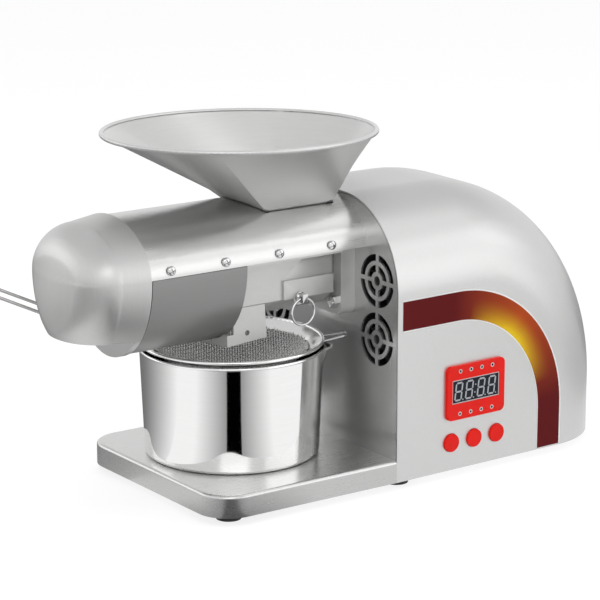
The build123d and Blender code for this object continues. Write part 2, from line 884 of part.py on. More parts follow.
def lock_pin():
    tip = -pin_seat() + pin_bite
    head = -block_side - pin_stand_off
    pin = rod((-pin_x, head, pin_z), tip - head, pin_r, (0, 1, 0))
    collar = -block_side - pin_collar_gap - pin_collar_thick
    pin += rod((-pin_x, collar, pin_z), pin_collar_thick, pin_collar_r, (0, 1, 0))
    eye = Pos(-pin_x, pin_eye_y, pin_z) * Box(pin_eye_thick, pin_eye, 2 * pin_r)
    pin += eye
    return pin - rod((-pin_x - pin_eye_thick, pin_eye_y, pin_z), 2 * pin_eye_thick,
                     ring_wire_r + ring_hole_slack, (1, 0, 0))


def pull_ring():
    return Pos(-pin_x, pin_eye_y, pin_z - ring_r) * Rot(90, 0, 0) * Torus(ring_r, ring_wire_r)


def drip_bracket():
    """Open channel under the block that leads the oil down to the strainer."""
    low = axis_z - drip_drop
    toe = drip_front - drip_toe
    toe_top = low + drip_toe_height
    outline = Polyline((toe, low), (drip_back, low + drip_fall), (drip_back - drip_lean, axis_z),
                       (drip_front, axis_z), (drip_front, toe_top), (toe, toe_top), close=True)
    cheek = extrude(Plane.XZ.offset(drip_half_width - drip_sheet) * make_face(outline), amount=drip_sheet)
    front = Polyline((-drip_half_width, low), (0, low - drip_web_dip), (drip_half_width, low),
                     (drip_half_width, toe_top), (-drip_half_width, toe_top), close=True)
    web = extrude(across(toe) * make_face(front), amount=drip_sheet)
    bracket = cheek + mirror(cheek, about=Plane.XZ) + web
    bracket -= block_form(slip / 2, block_front, block_back)
    bracket -= egg_form(-drip_cover_gap, toe, drip_front)
    hole = (toe + drip_hole_inset, -body_width, axis_z - drip_hole_drop)
    return bracket - rod(hole, 2 * body_width, drip_hole_r, (0, 1, 0))


# Feed throat and hopper

def feed_throat():
    walls = Rectangle(throat_length, throat_width)
    walls -= Rectangle(throat_length - 2 * throat_wall, throat_width - 2 * throat_wall)
    return extrude(Plane.XY.offset(block_top) * Pos(-feed_x, 0) * walls, amount=throat_height)


def rim_plane():
    """Plane of the hopper's rim, which leans down towards the housing."""
    lean = radians(hopper_lean)
    origin = (rim_x, 0, rim_z - hopper_bead_r)
    return Plane(origin=origin, x_dir=(cos(lean), 0, -sin(lean)), z_dir=(sin(lean), 0, cos(lean)))


def funnel(inset, low):
    """Solid that runs from the hopper's rectangular base to its oval rim."""
    length = hopper_base_length / 2 - inset
    width = hopper_base_width / 2 - inset
    corners = [(-feed_x + x * length, y * width) for x, y in ((1, 1), (-1, 1), (-1, -1), (1, -1))]
    base = Plane.XY.offset(low) * make_face(Polyline(*corners, close=True))
    long_r = hopper_length / 2 - hopper_bead_r - inset
    wide_r = hopper_width / 2 - hopper_bead_r - inset
    turns = [corner_angle, 180 - corner_angle, 180 + corner_angle, 360 - corner_angle, 360 + corner_angle]
    spans = zip(turns, turns[1:])
    arcs = [EllipticalCenterArc((0, 0), long_r, wide_r, a, arc_size=b - a) for a, b in spans]
    rim = rim_plane() * make_face(arcs)
    return loft([base, rim], ruled=True)


def hopper():
    bowl = funnel(0, throat_top)
    edge = Ellipse(hopper_length / 2 - hopper_bead_r, hopper_width / 2 - hopper_bead_r)
    path = rim_plane() * edge
    path = path.wire()
    section = Plane(origin=path @ 0, z_dir=path % 0) * Circle(hopper_bead_r)
    bead = sweep(section, path=path)
    bowl += bead
    bowl -= funnel(hopper_wall, throat_top + hopper_wall)
    neck = Rectangle(neck_length, neck_width)
    neck_low = throat_top - hopper_neck_depth
    bowl += extrude(Plane.XY.offset(neck_low) * Pos(-feed_x, 0) * neck, amount=hopper_neck_depth)
    throat = Rectangle(neck_length - 2 * hopper_wall, neck_width - 2 * hopper_wall)
    return bowl - extrude(Plane.XY.offset(neck_low) * Pos(-feed_x, 0) * throat,
                          amount=hopper_neck_depth + hopper_wall)


# Pot and strainer

def pot():
    rim = pot_height - pot_bead_r
    outer = Pos(0, 0, rim / 2) * Cone(pot_bottom_r, pot_top_r - pot_bead_r, rim)
    outer = fillet(outer.faces().sort_by(Axis.Z)[0].edges(), pot_bottom_round)
    outer += Pos(0, 0, rim) * Torus(pot_top_r - pot_bead_r, pot_bead_r)
    hollow = Pos(0, 0, pot_wall + pot_height / 2) * Cone(pot_bottom_r - pot_wall,
                                                         pot_top_r - pot_bead_r - pot_wall, pot_height)
    hollow = fillet(hollow.faces().sort_by(Axis.Z)[0].edges(), pot_bottom_round - pot_wall)
    outer += pouring_lip(0, rim)
    lip_bead = Pos(lip_reach, 0, rim) * Torus(lip_top_r, pot_bead_r)
    outer += Rot(0, 0, lip_angle) * lip_bead
    cup = outer - hollow - pouring_lip(pot_wall, rim)
    mouth = Rot(0, 0, lip_angle) * rod((lip_reach, 0, rim), 2 * pot_bead_r, lip_top_r - pot_wall, (0, 0, 1))
    return Pos(-pot_x, pot_y, tray_top) * (cup - mouth)


def pouring_lip(inset, rim):
    """Upright cone that pushes the pot's wall out into a lip, drawn in by inset."""
    cone = Cone(lip_low_r - inset, lip_top_r - inset, lip_height)
    return Rot(0, 0, lip_angle) * Pos(lip_reach, 0, rim - lip_height / 2) * cone


def spoke(angle, reach, offset, height):
    """Point at a reach along a spoke of the strainer, moved sideways by offset."""
    turn = radians(angle)
    x = -pot_x + reach * cos(turn) - offset * sin(turn)
    y = pot_y + reach * sin(turn) + offset * cos(turn)
    return (x, y, height)


def bent_wire(points, bend):
    path = FilletPolyline(*points, radius=bend)
    return sweep(Plane(origin=path @ 0, z_dir=path % 0) * Circle(wire_r), path=path)


def strainer_frame():
    """Sloping rim band with its rolled edge, the two-wire handle and the ear that hooks over the pot."""
    low_r = strainer_r - strainer_slope
    middle = Pos(-pot_x, pot_y, strainer_z - strainer_band / 2)
    inside = middle * Cone(low_r - strainer_wall, strainer_r - strainer_wall, strainer_band)
    frame = middle * Cone(low_r, strainer_r, strainer_band)
    seat_drop = (strainer_wire_drop + wire_r) / strainer_band
    seat_r = strainer_r - strainer_wall / 2 - strainer_slope * seat_drop
    side = handle_spread / 2
    start = sqrt(seat_r ** 2 - side ** 2)
    bend = strainer_r + handle_flat
    run_out = handle_length * cos(radians(handle_rise))
    climb = handle_length * sin(radians(handle_rise))
    handle = [(start, side, 0), (bend, side, 0), (bend + run_out, side, climb)]
    handle += [(reach, -offset, rise) for reach, offset, rise in reversed(handle)]
    frame += bent_wire([spoke(handle_angle, a, b, wire_z + c) for a, b, c in handle], handle_bend)
    side = ear_spread / 2
    start = sqrt(seat_r ** 2 - side ** 2)
    ear = [(start, side, 0), (strainer_r + ear_reach, ear_tip / 2, ear_rise)]
    ear += [(reach, -offset, rise) for reach, offset, rise in reversed(ear)]
    frame += bent_wire([spoke(ear_angle, a, b, wire_z + c) for a, b, c in ear], ear_bend)
    bead = Pos(-pot_x, pot_y, strainer_z) * Torus(strainer_r - strainer_wall / 2, strainer_bead_r)
    return frame - inside + bead


def strainer_mesh():
    """Dished mesh, as a thin closed shell cut from a ball."""
    hold_r = strainer_r - strainer_slope - strainer_wall - slip
    ball = (hold_r ** 2 + strainer_depth ** 2) / (2 * strainer_depth)
    middle = strainer_z - strainer_band - strainer_depth + ball
    spread = acos((ball - strainer_depth - mesh_overlap) / ball)

    def on_ball(radius, angle):
        return (radius * sin(angle), middle - radius * cos(angle))

    inner = ball - mesh_thick
    outline = [
        ThreePointArc(on_ball(ball, 0), on_ball(ball, spread / 2), on_ball(ball, spread)),
        Line(on_ball(ball, spread), on_ball(inner, spread)),
        ThreePointArc(on_ball(inner, spread), on_ball(inner, spread / 2), on_ball(inner, 0)),
        Line(on_ball(inner, 0), on_ball(ball, 0)),
    ]
    return Pos(-pot_x, pot_y, 0) * revolve(Plane.XZ * make_face(outline), axis=Axis.Z)


# Gear train and motor

shaft_centres = {"output": (0, axis_z), "idler": (idler_offset, idler_z), "motor": (0, motor_z)}


def heading(a, b):
    """Angle from one shaft's centre to another's, in degrees, across the screw axis."""
    start = shaft_centres[a]
    end = shaft_centres[b]
    return degrees(atan2(end[1] - start[1], end[0] - start[0]))


def gearbox_plate(x, front):
    plate = slab((x, -plate_half_width, pan_top), (x + plate_thick, plate_half_width, plate_top))
    for name, (y, z) in shaft_centres.items():
        if name == "motor":
            plate -= rod((x, y, z), plate_thick, motor_shaft_r + bearing_wall, (1, 0, 0))
        else:
            plate -= rod((x, y, z), plate_thick, bearing_bore(name, front) + bearing_wall, (1, 0, 0))
    if front:
        for y, z in flange_bolt_places():
            plate -= rod((x, y, z), plate_thick, bolt_r + slip, (1, 0, 0))
    return plate


def bearing_bore(name, front):
    return output_r if name == "output" and front else journal_r


def gearbox_spacers():
    length = plate_back - plate_front - plate_thick
    front = plate_front + plate_thick
    wide = plate_half_width - spacer_inset
    places = [(y, z) for y in (-wide, wide) for z in (pan_top + spacer_inset, plate_top - spacer_inset)]
    return [rod((front, y, z), length, spacer_r, (1, 0, 0)) for y, z in places]


def shaft_bearings():
    rings = []
    for x, front in ((plate_front, True), (plate_back, False)):
        for name in ("output", "idler"):
            bore = bearing_bore(name, front)
            y, z = shaft_centres[name]
            rings.append(tube((x, y, z), plate_thick, bore + bearing_wall - slip, bore + run))
    return rings


def output_shaft():
    y, z = shaft_centres["output"]
    shaft = rod((-flange_thick, y, z), flange_thick + train_front, output_r, (1, 0, 0))
    shaft += rod((train_front, y, z), plate_back + plate_thick - train_front, journal_r, (1, 0, 0))
    depth = flange_thick + plate_front + plate_thick
    socket = Pos(y, z) * RegularPolygon(drive_flats / 2 + slip, 6, major_radius=False)
    return shaft - extrude(across(-flange_thick) * socket, amount=depth)


def output_gear():
    phase = heading("output", "idler")
    return gear(gear_teeth, shaft_centres["output"], train_front, journal_r + slip, phase)


def idler_shaft():
    y, z = shaft_centres["idler"]
    shaft = rod((plate_front, y, z), plate_back + plate_thick - plate_front, journal_r, (1, 0, 0))
    phase = heading("idler", "output") + 180 / pinion_teeth
    return shaft + gear(pinion_teeth, (y, z), train_front, journal_r / 2, phase)


def idler_gear():
    phase = heading("idler", "motor")
    return gear(gear_teeth, shaft_centres["idler"], train_back, journal_r + slip, phase)


def motor_shaft():
    y, z = shaft_centres["motor"]
    length = motor_front + motor_length - motor_bell - train_back
    shaft = rod((train_back, y, z), length, motor_shaft_r, (1, 0, 0))
    phase = heading("motor", "idler") + 180 / pinion_teeth
    return shaft + gear(pinion_teeth, (y, z), train_back, motor_shaft_r / 2, phase)


def motor_body():
    y, z = shaft_centres["motor"]
    can = rod((motor_front, y, z), motor_length, motor_r - motor_bell_step, (1, 0, 0))
    for x in (motor_front, motor_front + motor_length - motor_bell):
        bell = rod((x, y, z), motor_bell, motor_r, (1, 0, 0))
        can += chamfer(bell.edges().filter_by(GeomType.CIRCLE), motor_bell_step / 2)
    groove = Pos(motor_front + motor_length / 2, 0, motor_r - motor_bell_step)
    groove = groove * Box(motor_length - 4 * motor_bell, motor_rib_width, 2 * motor_rib_depth)
    for turn in range(motor_rib_count):
        can -= Pos(0, y, z) * Rot(turn * 360 / motor_rib_count, 0, 0) * groove
    bore = motor_length - motor_bell
    return can - rod((motor_front, y, z), bore, motor_shaft_r + run, (1, 0, 0))


def motor_cradle():
    y, z = shaft_centres["motor"]
    middle = motor_front + motor_length / 2
    base = slab((middle - cradle_length / 2, -cradle_half_width, pan_top),
                (middle + cradle_length / 2, cradle_half_width, z - cradle_drop))
    seat_r = motor_r - motor_bell_step + slip
    return base - rod((middle - cradle_length, y, z), 2 * cradle_length, seat_r, (1, 0, 0))


pieces = {
    "base_plate": base_plate(),
    "floor_pan": floor_pan(),
    "rubber_feet": rubber_feet(),
    "foot_screws": foot_screws(),
    "motor_housing": motor_housing(),
    "front_panel": front_panel(),
    "fan_frames": fan_frames(),
    "upper_fan_rotor": fan_rotor(vent_centres(-1)[0]),
    "lower_fan_rotor": fan_rotor(vent_centres(-1)[1]),
    "display_bezel": display_bezel(),
    "display_window": display_window(),
    "display_module": display_module(),
    "indicator_lamps": indicator_lamps(),
    "circuit_board": circuit_board(),
    "button_board": button_board(),
    "power_inlet": power_inlet(),
    "inlet_pins": inlet_pins(),
    "switch_frame": switch_frame(),
    "switch_rocker": switch_rocker(),
    "top_cover": top_cover(),
    "lower_cover": lower_cover(),
    "cover_rails": cover_rails(),
    "cover_screws": cover_screws(),
    "nose_plate": nose_plate(),
    "nose_cap": nose_cap(),
    "barrel_block": barrel_block(),
    "flange_plate": flange_plate(),
    "flange_bush": flange_bush(),
    "flange_bolts": flange_bolts(),
    "press_barrel": press_barrel(),
    "barrel_cap": barrel_cap(),
    "heater_band": heater_band(),
    "press_screw": press_screw(),
    "lock_pin": lock_pin(),
    "pull_ring": pull_ring(),
    "drip_bracket": drip_bracket(),
    "feed_throat": feed_throat(),
    "hopper": hopper(),
    "pot": pot(),
    "strainer_frame": strainer_frame(),
    "strainer_mesh": strainer_mesh(),
    "gearbox_front_plate": gearbox_plate(plate_front, True),
    "gearbox_rear_plate": gearbox_plate(plate_back, False),
    "gearbox_spacers": gearbox_spacers(),
    "shaft_bearings": shaft_bearings(),
    "output_shaft": output_shaft(),
    "output_gear": output_gear(),
    "idler_shaft": idler_shaft(),
    "idler_gear": idler_gear(),
    "motor_body": motor_body(),
    "motor_shaft": motor_shaft(),
    "motor_cradle": motor_cradle(),
}
for number, place in enumerate(button_places(), 1):
    pieces[f"button_{number}"] = button(place)

# The part's origin is the middle of its footprint box, on the floor
groups = {name: shape if isinstance(shape, list) else [shape] for name, shape in pieces.items()}
boxes = [solid.bounding_box() for group in groups.values() for solid in group]
middle_x = (min(box.min.X for box in boxes) + max(box.max.X for box in boxes)) / 2
middle_y = (min(box.min.Y for box in boxes) + max(box.max.Y for box in boxes)) / 2

os.makedirs("parts", exist_ok=True)
for name, group in groups.items():
    placed = [Pos(-middle_x, -middle_y, 0) * solid for solid in group]
    export_step(Compound(children=placed), os.path.join("parts", f"{name}.step"))
print("moved by", -middle_x, -middle_y)
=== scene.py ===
import json
from math import atan2, cos, pi, radians, sin, tan

import bmesh
import bpy
from mathutils import Matrix, Vector


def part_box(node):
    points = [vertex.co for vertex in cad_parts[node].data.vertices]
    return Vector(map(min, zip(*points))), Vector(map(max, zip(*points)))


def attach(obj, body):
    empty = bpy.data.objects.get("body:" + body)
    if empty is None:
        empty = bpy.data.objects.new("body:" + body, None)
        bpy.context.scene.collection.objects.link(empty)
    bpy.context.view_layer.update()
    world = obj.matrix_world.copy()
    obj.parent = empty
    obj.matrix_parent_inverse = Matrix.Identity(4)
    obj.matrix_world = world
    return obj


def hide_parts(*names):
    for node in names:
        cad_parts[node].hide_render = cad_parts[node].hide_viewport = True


bl_info = {
    "name": "Screw Oil Press Looks",
    "version": (1, 0, 0),
    "blender": (4, 5, 0),
    "location": "View3D > Sidebar > Oil Press",
    "description": "Dresses the packed screw oil press and sets up its studio",
    "category": "Object",
}

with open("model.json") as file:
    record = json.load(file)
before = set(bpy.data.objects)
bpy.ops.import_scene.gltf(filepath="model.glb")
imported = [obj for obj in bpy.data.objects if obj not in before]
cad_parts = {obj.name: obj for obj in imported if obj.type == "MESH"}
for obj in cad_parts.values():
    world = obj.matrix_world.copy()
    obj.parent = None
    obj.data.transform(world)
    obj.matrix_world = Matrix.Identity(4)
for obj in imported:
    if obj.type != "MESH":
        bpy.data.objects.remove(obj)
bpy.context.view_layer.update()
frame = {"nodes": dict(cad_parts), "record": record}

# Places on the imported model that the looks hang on, in metres
MM = 0.001
FRONT_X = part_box("motor_housing")[0].x
MIDDLE_Y = (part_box("base_plate")[0].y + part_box("base_plate")[1].y) / 2
WALL_TAPER = radians(1.6)
HALF_WIDTH = 85 * MM


def spot(x, y, z):
    """Point given in millimetres from the housing's front plane, the middle line and the floor."""
    return Vector((FRONT_X + x * MM, MIDDLE_Y + y * MM, z * MM))


def near_wall():
    """Frame on the control side's wall: X to the rear, Y up, Z out, from the front edge at the floor."""
    along = Vector((cos(WALL_TAPER), sin(WALL_TAPER), 0))
    out = Vector((sin(WALL_TAPER), -cos(WALL_TAPER), 0))
    turn = Matrix((along, Vector((0, 0, 1)), out)).transposed().to_4x4()
    return Matrix.Translation(spot(0, -HALF_WIDTH / MM, 0)) @ turn


# Sizes and colours that a user would change

class PressSizes(bpy.types.PropertyGroup):
    """Sizes of the pieces that are made here."""
    mesh_pitch: bpy.props.FloatProperty(
        name="Mesh pitch", description="Distance between two wires of the strainer's mesh",
        default=0.0018, unit="LENGTH")
    mesh_wire: bpy.props.FloatProperty(
        name="Mesh wire", description="Radius of a wire of the strainer's mesh", default=0.00044, unit="LENGTH")
    mesh_edge: bpy.props.FloatProperty(
        name="Mesh radius", description="Radius of the strainer's mesh at its rim",
        default=0.0533, unit="LENGTH")
    mesh_depth: bpy.props.FloatProperty(
        name="Mesh depth", description="Depth of the strainer's dish", default=0.0235, unit="LENGTH")
    screw_count: bpy.props.IntProperty(
        name="Screws a side", description="Number of cover screws on each flank", default=4)
    screw_first: bpy.props.FloatProperty(
        name="First screw", description="Distance of the first cover screw from the housing",
        default=0.0286, unit="LENGTH")
    screw_pitch: bpy.props.FloatProperty(
        name="Screw pitch", description="Distance between two cover screws", default=0.0426, unit="LENGTH")
    screw_head: bpy.props.FloatProperty(
        name="Screw head", description="Radius of a cover screw's head", default=0.0032, unit="LENGTH")
    band_width: bpy.props.FloatProperty(
        name="Band width", description="Width of the coloured band on the housing",
        default=0.0203, unit="LENGTH")
    band_radius: bpy.props.FloatProperty(
        name="Band bend", description="Radius of the band's outer edge at its bend",
        default=0.095, unit="LENGTH")
    lamp_pitch: bpy.props.FloatProperty(
        name="Lamp pitch", description="Distance between two indicator lamps", default=0.0096, unit="LENGTH")
    lip_reach: bpy.props.FloatProperty(
        name="Pouring lip", description="How far the pot's lip stands out", default=0.0058, unit="LENGTH")


class PressColours(bpy.types.PropertyGroup):
    """Colours of the finishes."""
    steel: bpy.props.FloatVectorProperty(
        name="Brushed steel", description="Tint of the brushed sheet", default=(0.58, 0.58, 0.575),
        subtype="COLOR", size=3, min=0, max=1)
    polish: bpy.props.FloatVectorProperty(
        name="Polished steel", description="Tint of the pot and the strainer", default=(0.88, 0.88, 0.875),
        subtype="COLOR", size=3, min=0, max=1)
    housing: bpy.props.FloatVectorProperty(
        name="Housing", description="Tint of the satin housing", default=(0.60, 0.60, 0.597),
        subtype="COLOR", size=3, min=0, max=1)
    red: bpy.props.FloatVectorProperty(
        name="Control red", description="Colour of the bezel and the buttons", default=(0.84, 0.012, 0.006),
        subtype="COLOR", size=3, min=0, max=1)
    band_end: bpy.props.FloatVectorProperty(
        name="Band ends", description="Colour of the band at its two ends", default=(0.12, 0.0055, 0.007),
        subtype="COLOR", size=3, min=0, max=1)
    band_bend: bpy.props.FloatVectorProperty(
        name="Band bend", description="Colour of the band at its bend", default=(0.48, 0.068, 0.010),
        subtype="COLOR", size=3, min=0, max=1)
    band_glow: bpy.props.FloatVectorProperty(
        name="Band glow", description="Colour of the band at the inside of its bend",
        default=(0.86, 0.60, 0.012), subtype="COLOR", size=3, min=0, max=1)


class StudioSizes(bpy.types.PropertyGroup):
    """Camera and light."""
    lens: bpy.props.FloatProperty(
        name="Lens", description="Focal length of the camera, in millimetres", default=160.65)
    softbox: bpy.props.FloatProperty(
        name="Soft light", description="Power of the large soft light", default=8.0, unit="POWER")
    fill: bpy.props.FloatProperty(
        name="Fill light", description="Power of the fill light", default=4.0, unit="POWER")
    top: bpy.props.FloatProperty(
        name="Top light", description="Power of the light overhead", default=12.0, unit="POWER")
    sky: bpy.props.FloatProperty(
        name="Sky", description="Strength of the light from all round", default=0.50)


# Node building

def plug(tree, node, inputs):
    """Sets or links a node's inputs, by name or number."""
    for key, value in inputs.items():
        if isinstance(value, bpy.types.NodeSocket):
            tree.links.new(value, node.inputs[key])
        else:
            node.inputs[key].default_value = value


def add_node(tree, kind, inputs=None, **settings):
    """New node with its settings and its inputs."""
    node = tree.nodes.new(kind)
    for key, value in settings.items():
        setattr(node, key, value)
    plug(tree, node, inputs or {})
    return node


def calc(tree, operation, *values):
    """Result of a Math node."""
    return add_node(tree, "ShaderNodeMath", dict(enumerate(values)), operation=operation).outputs[0]


# Shader building

def new_material(name):
    """Material with its tree and its main shader."""
    material = bpy.data.materials.new(name)
    material.use_nodes = True
    tree = material.node_tree
    return material, tree, tree.nodes["Principled BSDF"]


def grain_group():
    """Node group that gives the streaks of a brushed face and slow clouds for smears."""
    group = bpy.data.node_groups.get("drawn_grain")
    if group:
        return group
    group = bpy.data.node_groups.new("drawn_grain", "ShaderNodeTree")
    for label, way, kind in (("Position", "INPUT", "Vector"), ("Stretch", "INPUT", "Vector"),
                             ("Streaks", "OUTPUT", "Float"), ("Clouds", "OUTPUT", "Float")):
        group.interface.new_socket(label, in_out=way, socket_type=f"NodeSocket{kind}")
    given = group.nodes.new("NodeGroupInput").outputs
    stretched = add_node(group, "ShaderNodeVectorMath", {0: given["Position"], 1: given["Stretch"]},
                         operation="MULTIPLY")
    streaks = add_node(group, "ShaderNodeTexNoise", {
        "Vector": stretched.outputs["Vector"], "Scale": 1.0, "Detail": 5.0, "Roughness": 0.68})
    clouds = add_node(group, "ShaderNodeTexNoise", {"Vector": given["Position"], "Scale": 16.0, "Detail": 3.0})
    add_node(group, "NodeGroupOutput", {"Streaks": streaks.outputs["Fac"], "Clouds": clouds.outputs["Fac"]})
    return group


def grain(tree, stretch):
    """Streaks and clouds on Object coordinates; large numbers in stretch are across the brush."""
    place = add_node(tree, "ShaderNodeTexCoord").outputs["Object"]
    return add_node(tree, "ShaderNodeGroup", {"Position": place, "Stretch": stretch},
                    node_tree=grain_group()).outputs


def spread(tree, value, low, high, start=0.3, end=0.7):
    """Brings a value from start..end to low..high."""
    return add_node(tree, "ShaderNodeMapRange", {
        "Value": value, "From Min": start, "From Max": end, "To Min": low, "To Max": high}).outputs["Result"]


def tint(tree, value, dark, light):
    """Colour between two tints, chosen by a value."""
    ramp = add_node(tree, "ShaderNodeValToRGB", {"Fac": value})
    for stop, place, colour in zip(ramp.color_ramp.elements, (0.3, 0.7), (dark, light)):
        stop.position = place
        stop.color = (*colour, 1)
    return ramp.outputs["Color"]


def dent(tree, height, strength, depth=0.0002):
    """Normal of a bump."""
    return add_node(tree, "ShaderNodeBump", {
        "Height": height, "Strength": strength, "Distance": depth}).outputs["Normal"]


def shade(colour, factor):
    return tuple(min(1.0, c * factor) for c in colour)


def brushed_metal(name, colour, stretch, rough, bump=0.012, contrast=0.025, metallic=1.0):
    """Sheet metal with a drawn grain."""
    material, tree, shader = new_material(name)
    marks = grain(tree, stretch)
    smear = calc(tree, "MULTIPLY", marks["Clouds"], 0.3)
    mixed = calc(tree, "MULTIPLY_ADD", marks["Streaks"], 0.7, smear)
    plug(tree, shader, {
        "Metallic": metallic,
        "Base Color": tint(tree, marks["Streaks"], shade(colour, 1 - contrast), shade(colour, 1 + contrast)),
        "Roughness": spread(tree, mixed, *rough),
        "Normal": dent(tree, marks["Streaks"], bump)})
    return material


def moulded(name, colour, rough, bump=0.06, sheen=0.5, scale=900.0):
    """Plastic or rubber with a fine moulded skin."""
    material, tree, shader = new_material(name)
    marks = grain(tree, (scale, scale, scale))
    plug(tree, shader, {
        "Base Color": tint(tree, marks["Clouds"], shade(colour, 0.92), shade(colour, 1.08)),
        "Roughness": spread(tree, marks["Streaks"], *rough),
        "Specular IOR Level": sheen,
        "Normal": dent(tree, marks["Streaks"], bump)})
    return material


def board_green():
    """Circuit board with copper tracks under its lacquer."""
    material, tree, shader = new_material("board_lacquer")
    place = add_node(tree, "ShaderNodeTexCoord").outputs["Object"]
    tracks = add_node(tree, "ShaderNodeTexBrick", {
        "Vector": place, "Scale": 240.0, "Color1": (0.010, 0.10, 0.035, 1), "Color2": (0.014, 0.13, 0.045, 1),
        "Mortar": (0.05, 0.22, 0.07, 1)}).outputs
    marks = grain(tree, (300, 300, 300))
    plug(tree, shader, {
        "Base Color": tracks["Color"],
        "Roughness": spread(tree, marks["Clouds"], 0.28, 0.42),
        "Normal": dent(tree, tracks["Fac"], 0.15)})
    return material


def dark_window():
    """Smoked window over the digits."""
    material, tree, shader = new_material("display_smoke")
    marks = grain(tree, (120, 120, 120))
    plug(tree, shader, {
        "Base Color": tint(tree, marks["Clouds"], (0.010, 0.013, 0.020), (0.016, 0.020, 0.030)),
        "Roughness": spread(tree, marks["Streaks"], 0.10, 0.18),
        "Specular IOR Level": 0.12})
    return material


def band_print(colours):
    """Printed band: dark at its ends, warm at the bend and glowing at the bend's inner edge."""
    material, tree, shader = new_material("band_print")
    place = add_node(tree, "ShaderNodeUVMap", uv_map="band").outputs["UV"]
    parts = add_node(tree, "ShaderNodeSeparateXYZ", {"Vector": place}).outputs
    along = add_node(tree, "ShaderNodeValToRGB", {"Fac": parts["X"]})
    stops = along.color_ramp.elements
    for stop, share in zip(stops, (0.20, 0.84)):
        stop.position = share
        stop.color = (*colours.band_end, 1)
    stops.new(0.50).color = (*colours.band_bend, 1)
    off = calc(tree, "ABSOLUTE", calc(tree, "SUBTRACT", parts["X"], 0.52))
    near_bend = spread(tree, off, 1.0, 0.0, 0.03, 0.25)
    near_inside = spread(tree, parts["Y"], 1.0, 0.0, 0.05, 0.80)
    glow = calc(tree, "MULTIPLY", near_bend, calc(tree, "POWER", near_inside, 1.6))
    warm = add_node(tree, "ShaderNodeMix", {
        "Factor": glow, "A": along.outputs["Color"], "B": (*colours.band_glow, 1)}, data_type="RGBA")
    marks = grain(tree, (700, 700, 700))
    plug(tree, shader, {
        "Base Color": warm.outputs["Result"],
        "Roughness": spread(tree, marks["Streaks"], 0.36, 0.46),
        "Specular IOR Level": 0.08,
        "Normal": dent(tree, marks["Streaks"], 0.02)})
    return material


finishes = {}


